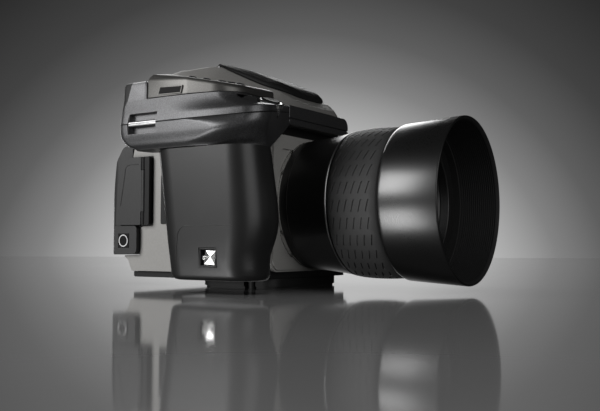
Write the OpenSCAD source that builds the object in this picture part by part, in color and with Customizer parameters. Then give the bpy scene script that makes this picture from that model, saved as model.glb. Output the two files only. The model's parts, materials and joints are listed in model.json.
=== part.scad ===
// Medium format digital camera with its standard lens and lens hood.
// Frame: millimetres, +Z up, the lens looks along -Y, the hand grip is on -X.
// The origin is the mouth of the large tripod socket, on the underside of the base plate.

/* [Lens] */
// Height of the lens axis over the underside of the base
lens_z = 48; // [46:0.5:50]
// Distance of the lens flange ahead of the tripod socket
flange_ahead = 40; // [39:0.5:42]
// Diameter of the barrel at the flange
barrel_rear_d = 74.6; // [73:0.2:76]
// Length of the barrel from the flange to the trim ring
barrel_len = 31; // [28:0.5:34]
// Height of the focus ring's crown over the front ring
focus_rise = 1; // [0.5:0.1:2]
// Length of the focus ring
focus_ring_len = 29.6; // [26:0.2:34]
// Wall of the focus ring
focus_ring_wall = 3.2; // [2.5:0.1:4]
// Length of the front ring
front_ring_len = 8; // [7:0.5:10]
// Diameter of the filter that screws into the front ring
filter_d = 67; // [62:1:68]
// Wall of the front ring round the filter
front_wall = 7.5; // [6.5:0.25:8.5]
// Flare of the hood from its rear to its rim
hood_flare = 2; // [1.5:0.1:4]
// Length of the hood
hood_len = 34; // [26:1:44]
// Wall of the hood
hood_wall = 1.6; // [1.2:0.1:1.8]
// Width of the lens flange, from the barrel's side to the throat
flange_w = 4.8; // [4.4:0.1:5.2]

/* [Body] */
// Width of the body casting
body_w = 92; // [90:1:94]
// Depth of the body casting behind the front plate
body_len = 59; // [57:0.5:60]
// Height of the top of the body casting
body_top = 92; // [91:0.5:93]
// Thickness of the base plate
base_h = 5.5; // [5:0.25:6]
// Width of the base plate
base_w = 73; // [66:1:80]
// Length of the base plate
base_len = 53; // [50:1:56]
// Border of the front plate round the lens barrel
plate_border = 4.7; // [3.7:0.1:5.7]
// Thickness of the front plate
plate_t = 4; // [3.5:0.25:4.5]
// Width of the reflex mirror
mirror_w = 54; // [46:1:56]
// Length of the reflex mirror along its slope
mirror_len = 46; // [40:1:48]
// Minor diameter of the large tripod thread (3/8 inch)
tripod_large_d = 8; // [7.8:0.05:8.2]
// Minor diameter of the small tripod thread (1/4 inch)
tripod_small_d = 5.1; // [5:0.05:5.2]

/* [Grip] */
// Distance of the grip's outer side from the lens axis
grip_out = 97; // [96:0.5:99]
// Height of the parting line of the grip shells at the outer side
parting_z = 88; // [87:0.5:89]
// Height of the underside of the grip shells
wing_bottom = 74.4; // [73:0.2:75]
// Height of the ledge that carries the grip's top cover
ledge_z = 101; // [100.5:0.25:101.5]
// Height of the top cover at the display
cover_z = 115.4; // [114:0.2:117]
// Width of the battery grip
battery_w = 34; // [32:0.5:35]
// Length of the battery grip
battery_len = 64; // [61:0.5:66]
// Height of the underside of the battery grip
battery_bottom = 6.5; // [4:0.5:8]
// Diameter of the shutter button's collar
collar_d = 13.5; // [12:0.25:14]
// Diameter of the rear control wheel
rear_wheel_d = 15; // [14:0.5:16]
// Diameter of the front control wheel
front_wheel_d = 11; // [10:0.5:12]

/* [Finder] */
// Height of the top of the finder
finder_top = 132; // [131:0.5:134]
// Width of the top of the finder
finder_crown_w = 54; // [52:1:56]
// Thickness of the flash lid
lid_t = 5.5; // [4.5:0.25:6]
// Width of the front fascia
fascia_w = 65.6; // [64:0.4:66]
// Width of the eyepiece tube
eyepiece_w = 40; // [37:1:42]
// Distance of the eyecup's rear edge behind the tripod socket
eyecup_rear = 95; // [92:0.5:98]

/* [Digital back] */
// Width of the digital back
back_w = 84; // [82:1:85]
// Height of the top of the digital back
back_top = 86; // [84:0.5:87]
// Distance of the back's rear face behind the tripod socket
back_rear = 87; // [86:0.5:89]
// Width of the rear display
screen_w = 60; // [56:1:64]
// Thickness of the card door
door_t = 3; // [2.5:0.25:3.5]

/* [Clearances] */
// Gap between pieces that move on each other
run_gap = 0.3; // [0.25:0.05:0.4]
// Gap between a pin and its bore
pin_gap = 0.1; // [0.06:0.02:0.16]
// Joint line between fixed shells
seam_gap = 0.2; // [0.15:0.05:0.3]

/* [Hidden] */
$fn = 96;

// Colours of the finishes
charcoal = [0.16, 0.16, 0.165];
warm_grey = [0.42, 0.4, 0.37];
black_rubber = [0.06, 0.06, 0.062];
black_metal = [0.03, 0.03, 0.032];
chrome = [0.75, 0.75, 0.74];
glass_tint = [0.2, 0.26, 0.3];

// Lens: distances along the axis are measured ahead of the flange
flange_y = -flange_ahead;
film_y = flange_y + 61.6;
barrel_rear_r = barrel_rear_d / 2;
filter_r = filter_d / 2;
front_ring_r = filter_r + front_wall;
focus_r = front_ring_r + focus_rise;
tube_r = focus_r - focus_ring_wall - run_gap;
trim_len = 1.2;
focus_s = barrel_len + trim_len + run_gap;
front_s = focus_s + focus_ring_len + run_gap;
lens_len = front_s + front_ring_len;
hood_s = front_s + run_gap;
hood_rear_r = front_ring_r + run_gap + hood_wall;
hood_rim_r = hood_rear_r + hood_flare;
throat_r = barrel_rear_r - flange_w;
tail_wall = 1.2;
tail_len = 5;
tail_r = throat_r - run_gap;
bore_r = tail_r - tail_wall;
glass_fit = 0.05;
lug_count = 3;
lug_r = tail_r + 2;
lug_t = 1.6;
lug_angle = 42;
mount_t = 3;
mount_r = barrel_rear_r - 0.4;
glass_t = 7;

// Lens release button
release_d = 7;
release_rise = 1.2;
release_travel = 1.5;
release_in = plate_t - release_travel - run_gap;
release_at = [barrel_rear_r - 2.8, lens_z - barrel_rear_r + 6.3];

// Body
plate_w = barrel_rear_d + 2 * plate_border;
plate_h = plate_w - 7;
plate_front = flange_y + 1.2;
body_front = plate_front + plate_t;
body_rear = body_front + body_len;
body_x = body_w / 2;
base_front = body_front - 1;
chamber_r = lug_r + 1.5;
box_w = mirror_w + 6;
box_front = flange_y + 12;
box_floor = lens_z - 27;
screen_z = lens_z + 25;
mirror_t = 1.8;
mirror_y = flange_y + 36;
pivot_r = 1.2;
pivot_len = 2.2;
pivot_y = mirror_y + mirror_len / 2 * cos(45) + mirror_t;
pivot_z = lens_z + mirror_len / 2 * sin(45);
light_w = mirror_w - 2;
light_len = 42;
light_y = mirror_y - 2;
cover_t = 6;
left_x = body_x + cover_t;

// Grip shells: the parting plane rises from the outer side towards the finder
wing_chords = [2, 8, 14, 14, 2, 2, 2];
wing_rear = 25;
wing_in = body_x + seam_gap;
nose_x = fascia_w / 2 + seam_gap;
nose_y = flange_y - 4;
tip_y = nose_y - 29.5;
tip_in = 9.5;
tip_back = 6;
side_r = 150;
cheek_r = 40;
// Spot inside every plan of the shells from which the whole plan is in sight
cap_at = [-(grip_out + nose_x) / 2 - 3, nose_y + 2];
parting_rise = 0.157;
under_rise = 0.59;
under_start = 62;
band_h = 3.4;
tower_top = 111;
tower_front = 6.4;
recess_y = 6.5;
recess_len = 20;
recess_h = 11.5;
recess_depth = 7;
bar_t = 1.8;
bar_h = 3;
bar_in = 1.6;

// Battery grip and its rail
battery_chords = [3, 12, 16, 11, 7];
battery_heel = 1.2;
battery_edge = 3;
battery_top = wing_bottom - run_gap;
battery_stations = [battery_bottom + battery_edge, 13, 16, 19, 22, 25, 28, 31, 35, 39, 44, 50, 56, 62,
    68, battery_top];
battery_in = 59;
battery_out = battery_in + battery_w;
battery_rear = 5.5;
rail_neck = 8;
rail_head = 14;
rail_head_t = 4;
rail_depth = 5;
rail_y = -8;
rail_bottom = 16;
lever_y = -34.5;
lever_z = 18.2;
lever_len = 9;
lever_h = 7.5;
lever_t = 2;
frame_w = 1.2;
frame_depth = 5;
lever_sink = 0.4;
lever_x = battery_out - battery_side(lever_z) - lever_sink;

// Grip top
cover_chords = [3, 3, 11, 11, 5];
cover_slope = 0.215;
cover_lean = 0.05;
cover_rear = tower_front - seam_gap;
button_d = 4.2;
button_rise = 0.9;
button_travel = 0.7;
button_spots = [[-82, -15.4], [-81, -24.2], [-79.5, -33], [-77.5, -37.6], [-75, -41.6]];
key_beds = [[0, 1], [2, 4]];
bed_depth = 0.5;
bed_margin = 0.6;
button_depth = 2.2;
display_x = -65;
display_y = -14;
display_w = 26;
display_len = 34;
shutter_at = [-64.5, -53, 97.4];
shutter_tilt = 22;
shutter_d = collar_d - 3.6;
shutter_rise = 1.8;
well_depth = 6;
wheel_t = 7;
front_wheel_at = [-79, -51, 94];
front_wheel_turn = 24;
rear_wheel_at = [-70, wing_rear - rear_wheel_d / 2 + 2, 105.5];
wheel_room = 0.6;
axle_d = 3;

// Finder
fascia_front = nose_y;
fascia_bottom = body_top - 0.6;
fascia_top = 102.4;
fascia_groove_z = 94.6;
fascia_x = fascia_w / 2;
crown_x = finder_crown_w / 2;
housing_bottom = body_top + seam_gap;
housing_rear = 57;
brow_z = fascia_top + seam_gap;
housing_stations = [housing_rear, 54, 50, 40, 28, 16, 13, 9, 5, 1, -3, -7, -11, -15, -19, -22.5, -26,
    -29.5, -33, body_front + 0.1, body_front - 0.1, -38, -40, fascia_front + 1.6, fascia_front + 0.6];
lid_x = crown_x - 0.6;
lid_hinge_y = 10.6;
lid_hinge_z = finder_top - 1.2;
lid_hinge_r = 2;
lid_pin_r = 0.8;
lid_front = fascia_front + 7.5;
lid_stations = [lid_hinge_y, 9, 5, 1, -3, -7, -11, -15, -19, -22.5, -26, lid_front + 8, lid_front + 6.5,
    lid_front + 5, lid_front + 4, lid_front + 3, lid_front + 2, lid_front + 1, lid_front];
prism_w = 48;
prism_base = screen_z + 7;
eyepiece_z = 107;
eyepiece_h = 30;
dioptre_r = 5;
dioptre_len = 10;
dioptre_at = [body_x - dioptre_len + 1, 34, eyepiece_z - 4];
eyecup_len = 11;
tube_rear = eyecup_rear - eyecup_len;
window_w = 26;
window_h = 18;
shoe_slot_w = 18.7;
shoe_slot_h = 2.1;
shoe_lip_w = 12.6;
shoe_len = 19;
shoe_front = 30;
shoe_w = 22;
shoe_floor = finder_top - 3.4;

// Digital back
back_x = back_w / 2;
back_front = body_rear + seam_gap;
door_bottom = 36.4;
door_top = 77.6;
door_front = 55.7;
hinge_y = door_front - 1;
hinge_x = -(back_x + 1.9);
knuckle_r = 1.7;
knuckle_len = 8;
strip_w = 6.4;
door_pin_r = 0.8;
slot_y = 66.5;
slot_w = 7;
slot_depth = 12;
foot_z = 4.8;
lip_z = 8.4;
screen_h = 42;
screen_tilt = 9.5;
pad_z = 25;
pad_size = [16, 10];
key_size = [9, 5];
key_x = 22;
slot_margin = 2.6;
block_front = 59.2;
block_bottom = 18.4;
lip_rear = 66;
carrier_w = 62;
carrier_h = 54;
carrier_t = 10;
sensor_w = 53;
sensor_h = 40;
baffle_t = 1.2;

function unit(v) = v / norm(v);

// Points of one rounded corner p = [x, y, r] between its neighbours a and b
function corner_arc(a, p, b, n) =
    let (
        to_a = [a.x - p.x, a.y - p.y],
        to_b = [b.x - p.x, b.y - p.y],
        half = acos(max(-1, min(1, unit(to_a) * unit(to_b)))) / 2,
        r = min(p[2], 0.48 * min(norm(to_a), norm(to_b)) * tan(half)),
        centre = [p.x, p.y] + unit(unit(to_a) + unit(to_b)) * r / sin(half),
        start = [p.x, p.y] + unit(to_a) * r / tan(half) - centre,
        end = [p.x, p.y] + unit(to_b) * r / tan(half) - centre,
        first = atan2(start.y, start.x),
        sweep = (atan2(end.y, end.x) - first + 540) % 360 - 180
    )
    [for (i = [0:n]) centre + r * [cos(first + sweep * i / n), sin(first + sweep * i / n)]];

// Closed outline of rounded corners, listed counterclockwise.
// Each corner has n chords, or corner i has n[i]
function outline(corners, n = 6) =
    let (m = len(corners))
    [for (i = [0:m - 1])
        each corner_arc(corners[(i + m - 1) % m], corners[i], corners[(i + 1) % m],
            is_list(n) ? n[i] : n)];

// The same corners moved inwards by d
function inset(corners, d) =
    let (m = len(corners))
    [for (i = [0:m - 1])
        let (
            p = corners[i],
            a = corners[(i + m - 1) % m],
            b = corners[(i + 1) % m],
            u = unit([a.x - p.x, a.y - p.y]),
            w = unit([b.x - p.x, b.y - p.y]),
            q = [p.x, p.y] + unit(u + w) * d / sin(acos(u * w) / 2)
        )
        [q.x, q.y, max(0.4, p[2] - d)]];

// Value at x of a smooth curve through the points of a table
function flow(x, table) =
    let (
        n = len(table),
        passed = [for (k = [0:n - 2]) if (x >= table[k].x) k],
        i = max(0, len(passed) - 1),
        a = table[i],
        b = table[i + 1],
        w = b.x - a.x,
        q = max(0, min(1, (x - a.x) / w)),
        before = i > 0 ? (b.y - table[i - 1].y) / (b.x - table[i - 1].x) : (b.y - a.y) / w,
        after = i < n - 2 ? (table[i + 2].y - a.y) / (table[i + 2].x - a.x) : (b.y - a.y) / w
    )
    pow(1 - q, 2) * (a.y * (1 + 2 * q) + before * w * q)
    + q * q * (b.y * (3 - 2 * q) - after * w * (1 - q));

function mean(points) = [for (k = [0:2]) [for (p = points) p[k]] * [for (p = points) 1] / len(points)];

// Solid through a stack of rings with equal counts of points.
// Its ends are capped from the points foot and head, or from the middle of the end rings
module loft(rings, foot, head) {
    n = len(rings[0]);
    m = len(rings);
    first = is_undef(foot) ? mean(rings[0]) : foot;
    last = is_undef(head) ? mean(rings[m - 1]) : head;
    points = concat([for (ring = rings) each ring], [first, last]);
    sides = [for (j = [0:m - 2], i = [0:n - 1])
        let (k = (i + 1) % n)
        each [[j * n + i, (j + 1) * n + i, (j + 1) * n + k], [j * n + i, (j + 1) * n + k, j * n + k]]];
    caps = [for (i = [0:n - 1])
        let (k = (i + 1) % n)
        each [[m * n, i, k], [m * n + 1, (m - 1) * n + k, (m - 1) * n + i]]];
    polyhedron(points, concat(sides, caps), convexity = 6);
}

// Flat rounded rectangle with true arcs, centred
module rounded_rect(w, h, r) {
    square([w - 2 * r, h], center = true);
    square([w, h - 2 * r], center = true);
    for (x = [-1, 1], y = [-1, 1])
        translate([x * (w / 2 - r), y * (h / 2 - r)]) circle(r);
}

// Places a shape drawn along +Z on the lens axis, looking ahead from the flange
module on_lens() {
    translate([0, flange_y, lens_z]) rotate([90, 0, 0]) children();
}

// Turned part of the lens: points are [radius, distance ahead of the flange]
module turned(points) {
    on_lens() rotate_extrude() polygon(points);
}

// Plate that stands across the camera, from y0 forwards by t, drawn as a front view
module front_slab(y0, t) {
    translate([0, y0, 0]) rotate([90, 0, 0]) linear_extrude(t) children();
}

// Extrusion across the camera of a side view drawn as [y, z], from x0 to x1
module side_slab(x0, x1) {
    translate([x0, 0, 0]) rotate([90, 0, 90]) linear_extrude(x1 - x0) children();
}

module rod_x(r, x0, x1) {
    translate([x0, 0, 0]) rotate([0, 90, 0]) cylinder(r = r, h = x1 - x0);
}

module body_casting() color(black_metal) difference() {
    translate([0, (body_front + body_rear) / 2, base_h])
        linear_extrude(body_top - base_h) rounded_rect(body_w, body_len, 4);
    turned([[0, -box_front + flange_y - 1], [chamber_r, -box_front + flange_y - 1],
        [chamber_r, -mount_t], [mount_r + seam_gap, -mount_t], [mount_r + seam_gap, 1], [0, 1]]);
    translate([-box_w / 2, box_front, box_floor])
        cube([box_w, body_rear - box_front + 1, screen_z - box_floor]);
    translate([-light_w / 2, light_y - light_len / 2, screen_z - 1])
        cube([light_w, light_len, body_top - screen_z + 2]);
    translate([0, pivot_y, pivot_z])
        rod_x(pivot_r + pin_gap, -box_w / 2 - pivot_len, box_w / 2 + pivot_len);
}

module front_plate() color(warm_grey) {
    step = 1.2;
    frame_w = 8;
    difference() {
        union() {
            front_slab(body_front, plate_t - step)
                translate([0, lens_z]) rounded_rect(plate_w, plate_h, 7);
            front_slab(body_front - plate_t + step, step)
                translate([0, lens_z]) rounded_rect(plate_w - 2 * step, plate_h - 2 * step, 6);
        }
        front_slab(plate_front + step, step + 1)
            translate([0, lens_z]) rounded_rect(plate_w - 2 * frame_w, plate_h - 2 * frame_w, 4);
        on_lens() translate([0, 0, -plate_t - 2]) cylinder(r = mount_r + seam_gap, h = plate_t + 3);
        front_slab(body_front + 1, plate_t + 2) translate(release_at)
            circle(d = release_d + 2 * run_gap);
    }
}

module lens_mount() color(chrome) difference() {
    turned([[throat_r, -mount_t], [mount_r, -mount_t], [mount_r, 0], [throat_r, 0]]);
    for (i = [0:lug_count - 1])
        on_lens() rotate(i * 360 / lug_count + 60) translate([0, 0, -mount_t - 1])
            rotate_extrude(angle = lug_angle + 8) translate([throat_r - 1, 0])
                square([lug_r + 0.5 - throat_r + 1, mount_t - 0.6]);
}

module base_plate() color(black_metal) {
    foot_y = base_front + 16;
    difference() {
        union() {
            translate([0, base_front + base_len / 2, 1])
                linear_extrude(base_h - 1) rounded_rect(base_w, base_len, 9);
            translate([0, base_front + base_len / 2, 0])
                linear_extrude(1) rounded_rect(base_w - 2, base_len - 2, 8);
        }
        translate([0, 0, -1]) cylinder(d = tripod_large_d, h = base_h);
        translate([0, -14, -1]) cylinder(d = tripod_small_d, h = base_h);
        translate([-base_w / 2 - 1, foot_y - 4, -1]) cube([6, 8, base_h + 2]);
    }
    translate([-base_w / 2 + 3, foot_y, 0]) cylinder(r1 = 2.2, r2 = 2.8, h = base_h);
}

module left_cover() color(charcoal) difference() {
    side_slab(body_x, left_x)
        translate([(body_front + body_rear) / 2 - 1, (base_h + body_top) / 2 + 4])
            rounded_rect(body_len - 4, body_top - base_h, 7);
    strap_recess(left_x);
    translate([left_x, body_rear - 10, lens_z + 10]) rod_x(3 + run_gap, -2.4, 1);
}

module reflex_mirror() color(chrome) translate([0, pivot_y, pivot_z]) {
    rod_x(pivot_r, -box_w / 2 - pivot_len + run_gap, box_w / 2 + pivot_len - run_gap);
    rotate([45, 0, 0]) translate([-mirror_w / 2, -mirror_len, -mirror_t / 2])
        cube([mirror_w, mirror_len, mirror_t]);
}

module focusing_screen() color(glass_tint)
    translate([-light_w / 2, light_y - light_len / 2, screen_z]) cube([light_w, light_len, 1.6]);

// Light mask in the mirror box, just ahead of the sensor
module light_baffle() color(black_metal) front_slab(film_y - 1.5, baffle_t) difference() {
    translate([0, (box_floor + screen_z) / 2]) square([box_w, screen_z - box_floor], center = true);
    translate([0, lens_z]) square([sensor_w, sensor_h], center = true);
}

// Share of the parting plane's rise at a height of the upper shell
function rise_share(h) = lookup(h - parting_z,
    [[0, 1], [band_h, 1], [band_h + 2, 0.8], [band_h + 4, 0.62], [ledge_z - parting_z - 3, 0.38],
        [ledge_z - parting_z, 0.12]]);
function upper_z(x, h) = h + parting_rise * (x + grip_out) * rise_share(h);
function lower_z(x, u) =
    wing_bottom + u * (parting_z - wing_bottom)
    + u * parting_rise * (x + grip_out) + (1 - u) * under_rise * max(0, x + under_start);

// Plan of the lower shell at a share u of its height, with the underside drawn in
function lower_plan(u) =
    let (
        side = flow(u, [[0, 4], [0.08, 2], [0.2, 0.8], [0.45, 0.1], [0.7, 0], [1, 0]]),
        back = flow(u, [[0, 11], [0.08, 7], [0.2, 4.2], [0.45, 1.2], [0.7, 0.2], [1, 0]]),
        crease = flow(u, [[0, 43], [0.14, 38], [0.35, 30], [0.57, 25], [0.8, 29], [1, 40]]),
        front = flow(u, [[0, 10.5], [0.35, 8], [0.57, 5.6], [0.8, 2.4], [1, 0]]),
        tuck = 0.5 + 0.5 * u
    )
    [[-wing_in, wing_rear - back, 2],
     [-grip_out + side, wing_rear - back, 6],
     [-grip_out + side - 0.3, tip_y + crease, cheek_r + u * (side_r - cheek_r)],
     [-grip_out + front + tip_in * tuck, tip_y + front + tip_back * tuck, 12],
     [-nose_x, nose_y, 1],
     [-nose_x, body_front - seam_gap, 0.5],
     [-wing_in, body_front - seam_gap, 0.5]];

// Plan of the upper shell at a height, scooped out over the nose
function upper_plan(h) =
    let (
        up = h - parting_z,
        lean = 3.5 * up / (ledge_z - parting_z),
        scoop = flow(up, [[0, 0], [band_h - 0.8, 0], [band_h, 0.01], [band_h + 0.9, 0.12],
            [band_h + 2.2, 0.4], [band_h + 4.2, 0.7],
            [band_h + 6.6, 0.9], [ledge_z - parting_z, 1]])
    )
    [[-wing_in, wing_rear, 2],
     [-grip_out + lean, wing_rear, 6 - 2 * up / (ledge_z - parting_z)],
     [-grip_out + lean - 0.3, tip_y + 40 + 13 * scoop, side_r],
     [-grip_out + 8.5 * scoop + tip_in * (1 - scoop), tip_y + 24.5 * scoop + tip_back * (1 - scoop), 12],
     [-nose_x - 3 * scoop, nose_y + scoop, 1],
     [-nose_x - 3 * scoop, body_front - seam_gap, 0.5],
     [-wing_in, body_front - seam_gap, 0.5]];

// Plan of the tower behind the top cover
function tower_plan(d) =
    [[-wing_in - d, wing_rear - d, 2],
     [-grip_out + 3.6 + d, wing_rear - d, 4],
     [-grip_out + 3.5 + d, tower_front + 1.6, 0.5],
     [-grip_out + 3.9 + d, tower_front + d, 0.5],
     [-60, tower_front - 0.1 + d, 1],
     [-wing_in - 2, tower_front + d, 0.5],
     [-wing_in - d, tower_front + 1, 0.5]];

// Ring on the ledge, drawn in from the nose before the tower rises
function ledge_plan() =
    [[-wing_in, wing_rear, 2],
     [-grip_out + 3.55, wing_rear, 4],
     [-grip_out + 6, tip_y + 50, 12],
     [-grip_out + 12, tip_y + 28, 12],
     [cap_at.x + 8, cap_at.y, 1],
     [-wing_in - 0.6, body_front - 1.6, 0.4],
     [-wing_in - 0.5, body_front - 0.8, 0.4]];

function lower_ring(u, d = 0) =
    [for (p = outline(inset(lower_plan(u), d), wing_chords)) [p.x, p.y, lower_z(p.x, u)]];
function upper_ring(h, d = 0) =
    [for (p = outline(inset(upper_plan(h), d), wing_chords)) [p.x, p.y, upper_z(p.x, h)]];
function ledge_ring(lift) = [for (p = outline(ledge_plan(), wing_chords))
    [p.x, p.y, upper_z(p.x, ledge_z) + lift]];
function tower_ring(h, d) = [for (p = outline(tower_plan(d), wing_chords))
    [p.x, p.y, h + upper_z(p.x, ledge_z) - ledge_z]];

module strap_recess(x) {
    translate([x, recess_y, parting_z]) cube([2 * recess_depth, recess_len, recess_h], center = true);
}

module grip_lower_shell() color(charcoal) difference() {
    groove = 0.35;
    top = parting_z - wing_bottom;
    shares = concat([-0.1], [for (i = [0:11]) 0.05 + 0.075 * i], [1 - groove / top]);
    loft(concat([for (u = shares) lower_ring(u)], [lower_ring(1, groove)]),
        foot = [cap_at.x, cap_at.y, lower_z(cap_at.x, shares[0])],
        head = [cap_at.x, cap_at.y, lower_z(cap_at.x, 1)]);
    under_cut();
    strap_recess(-grip_out);
    front_wheel_pocket();
    shutter_well();
}

// What lies below the flat underside of the grip shells and its slope beside the body
module under_cut() {
    slope_end = -nose_x + 5;
    front_slab(wing_rear + 1, wing_rear - tip_y + 2)
        polygon([[-grip_out - 1, wing_bottom], [-under_start, wing_bottom],
            [slope_end, lower_z(slope_end, 0)],
            [slope_end, wing_bottom - 10], [-grip_out - 1, wing_bottom - 10]]);
}

module upper_block() {
    groove = 0.35;
    loft(concat(
        [upper_ring(parting_z, groove), upper_ring(parting_z + groove)],
        [for (up = [-0.8, 0, 0.45, 0.9, 1.5, 2.2, 3.2, 4.2, 5.4, 6.6, 8])
            upper_ring(parting_z + band_h + up)],
        [upper_ring(ledge_z), ledge_ring(0.01), tower_ring(ledge_z + 0.02, 0),
            tower_ring(tower_top - 2, 0.2), tower_ring(tower_top - 0.6, 0.7),
            tower_ring(tower_top, 1.8)]),
        foot = [cap_at.x, cap_at.y, upper_z(cap_at.x, parting_z)]);
}

// Round well in both shells that the shutter collar sits in
module shutter_well() on_shutter() {
    translate([0, 0, -well_depth]) cylinder(d = collar_d - 2, h = 2 * well_depth);
    translate([0, 0, -1]) cylinder(d = collar_d + 2 * seam_gap, h = 2 * well_depth);
}

module thumb_profile() {
    polygon([[wing_rear + 2, parting_z + 0.4], [wing_rear + 2, tower_top + 9],
        [wing_rear - 8.5, tower_top + 9], [wing_rear - 7.5, tower_top - 2],
        [wing_rear - 4.2, ledge_z - 2], [wing_rear - 1.2, parting_z + 2]]);
}

module thumb_rest() color(black_rubber) intersection() {
    upper_block();
    side_slab(-grip_out - 2, -80) thumb_profile();
}

module grip_upper_shell() color(charcoal) difference() {
    upper_block();
    side_slab(-grip_out - 3, -80 + seam_gap) thumb_profile();
    strap_recess(-grip_out);
    translate(rear_wheel_at) cube([rear_wheel_d + 2 * wheel_room, rear_wheel_d + 2 * wheel_room,
        wheel_t + 2 * wheel_room], center = true);
    front_wheel_pocket();
    wheel_axles();
    shutter_well();
}

// Height of the top cover's upper face
function cover_top(x, y) = cover_z + cover_lean * (x + 82)
    + lookup(y, [[-60, -60 * cover_slope], [0, 0], [cover_rear - 6, 0.4], [cover_rear - 2.5, -0.6],
        [cover_rear, -3]]);
function cover_plan() =
    [[-wing_in, cover_rear, 1],
     [-grip_out + 3.8, cover_rear, 1],
     [-grip_out + 4.4, tip_y + 53, 12],
     [-grip_out + 9.2, tip_y + 26, 18],
     [-wing_in, nose_y + 0.4, 3]];
function cover_ring(d, drop) =
    [for (p = outline(inset(cover_plan(), d), cover_chords)) [p.x, p.y, cover_top(p.x, p.y) - drop]];
function cover_foot() =
    [for (p = outline(cover_plan(), cover_chords)) [p.x, p.y, upper_z(p.x, ledge_z) + seam_gap]];
function shrunk(ring, s) =
    let (c = mean(ring))
    [for (p = ring) let (q = c + (p - c) * s) [q.x, q.y, cover_top(q.x, q.y)]];

module on_cover(spot) {
    translate([spot.x, spot.y, cover_top(spot.x, spot.y)])
        rotate([atan(cover_slope), -atan(cover_lean), 0]) children();
}

module on_shutter() {
    translate(shutter_at) rotate([shutter_tilt, -8, 0]) children();
}

// Shallow bed sunk round a row of keys, from the first key to the last
module key_bed(first, last) {
    width = button_d + 2 * run_gap + 2 * bed_margin;
    run = last - first;
    on_cover((first + last) / 2) rotate(atan2(run.y, run.x))
        cube([norm(run) + width, width, 2 * bed_depth], center = true);
}

module grip_top_cover() color(warm_grey) difference() {
    edge = 2.2;
    loft(concat(
        [cover_foot()],
        [for (a = [0:30:90]) cover_ring(edge * (1 - cos(a)), edge * (1 - sin(a)))],
        [for (s = [0.75, 0.4]) shrunk(cover_ring(edge, 0), s)]));
    for (bed = key_beds)
        key_bed(button_spots[bed[0]], button_spots[bed[1]]);
    for (spot = button_spots)
        on_cover(spot) translate([0, 0, -button_depth])
            cylinder(d = button_d + 2 * run_gap, h = button_depth - bed_depth / 2);
    on_cover([display_x, display_y]) translate([0, 0, 0.2])
        cube([display_w, display_len, 3], center = true);
}

module grip_display() color(glass_tint) on_cover([display_x, display_y]) translate([0, 0, -1.3])
    linear_extrude(1.1) rounded_rect(display_w - 2 * seam_gap, display_len - 2 * seam_gap, 1.5);

// One of the round keys along the outer edge of the top cover
module top_button(i) color(black_rubber) on_cover(button_spots[i]) {
    edge = 0.4;
    foot = button_travel + run_gap - button_depth;
    translate([0, 0, foot]) cylinder(d = button_d, h = button_rise - edge - foot);
    translate([0, 0, button_rise - edge]) cylinder(d1 = button_d, d2 = button_d - 2 * edge, h = edge);
}
module top_button_1() top_button(0);
module top_button_2() top_button(1);
module top_button_3() top_button(2);
module top_button_4() top_button(3);
module top_button_5() top_button(4);

module shutter_collar() color(chrome) on_shutter() rotate_extrude() polygon([
    [shutter_d / 2 + run_gap, -5], [collar_d / 2 - 1, -5], [collar_d / 2 - 1, -1], [collar_d / 2, -1],
    [collar_d / 2, 0.8], [collar_d / 2 - 0.8, 1.6], [shutter_d / 2 + run_gap, 1.6]]);

module shutter_button() color(black_metal) on_shutter() rotate_extrude() polygon([
    [0, -4], [shutter_d / 2, -4], [shutter_d / 2, shutter_rise],
        [shutter_d / 2 - 0.7, shutter_rise + 0.6],
    [0, shutter_rise + 0.2]]);

// Knurled control wheel drawn along +Z
module knurled_wheel(d) difference() {
    notches = 24;
    notch = 0.9;
    cylinder(d = d, h = wheel_t, center = true);
    cylinder(d = axle_d + 2 * pin_gap, h = wheel_t + 1, center = true);
    for (i = [0:notches - 1])
        rotate(i * 360 / notches) translate([d / 2, 0, 0])
            rotate(45) cube([notch, notch, wheel_t + 1], center = true);
}

module front_wheel() color(black_rubber)
    translate(front_wheel_at) rotate([0, 90, front_wheel_turn]) knurled_wheel(front_wheel_d);
module rear_wheel() color(black_rubber) translate(rear_wheel_at) knurled_wheel(rear_wheel_d);

// Slot in both grip shells that the front wheel turns in
module front_wheel_pocket() {
    room = front_wheel_d + 2 * wheel_room;
    translate(front_wheel_at) rotate([0, 0, front_wheel_turn])
        cube([wheel_t + 2 * wheel_room, room, room], center = true);
}

module wheel_axles() color(chrome) {
    half = wheel_t - 1;
    translate(front_wheel_at) rotate([0, 0, front_wheel_turn]) rod_x(axle_d / 2, -half, half);
    translate(rear_wheel_at) cylinder(d = axle_d, h = 2 * half, center = true);
}

// Strap bars that bridge the strap recesses on both sides
module strap_bars() color(chrome)
    for (x = [-grip_out + bar_in, left_x - bar_in])
        translate([x, recess_y, parting_z])
            rotate([90, 0, 0]) linear_extrude(recess_len, center = true) rounded_rect(bar_t, bar_h, 1);

// Section of the rail that guides the battery grip, grown by a clearance
module rail_section(grow) {
    translate([-battery_in - rail_depth, rail_y - rail_neck / 2 - grow])
        square([rail_depth + 2 * run_gap, rail_neck + 2 * grow]);
    translate([-battery_in - rail_depth, rail_y])
        square([rail_head_t + 2 * grow, rail_head + 2 * grow], center = true);
}

module rail_cut(top) {
    translate([0, 0, rail_bottom - run_gap]) linear_extrude(top - rail_bottom) rail_section(run_gap);
}

module grip_rail() color(black_metal) {
    outer = -battery_in + run_gap;
    block_bottom = rail_bottom - 4;
    block_rear = battery_rear - 3;
    translate([0, 0, rail_bottom]) linear_extrude(battery_top - rail_bottom - run_gap) rail_section(0);
    front_slab(block_rear, block_rear - body_front - 2)
        polygon([[outer, block_bottom], [-body_x, block_bottom],
            [-body_x, lower_z(-body_x, 0) - seam_gap],
            [outer, lower_z(outer, 0) - seam_gap]]);
}

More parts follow.
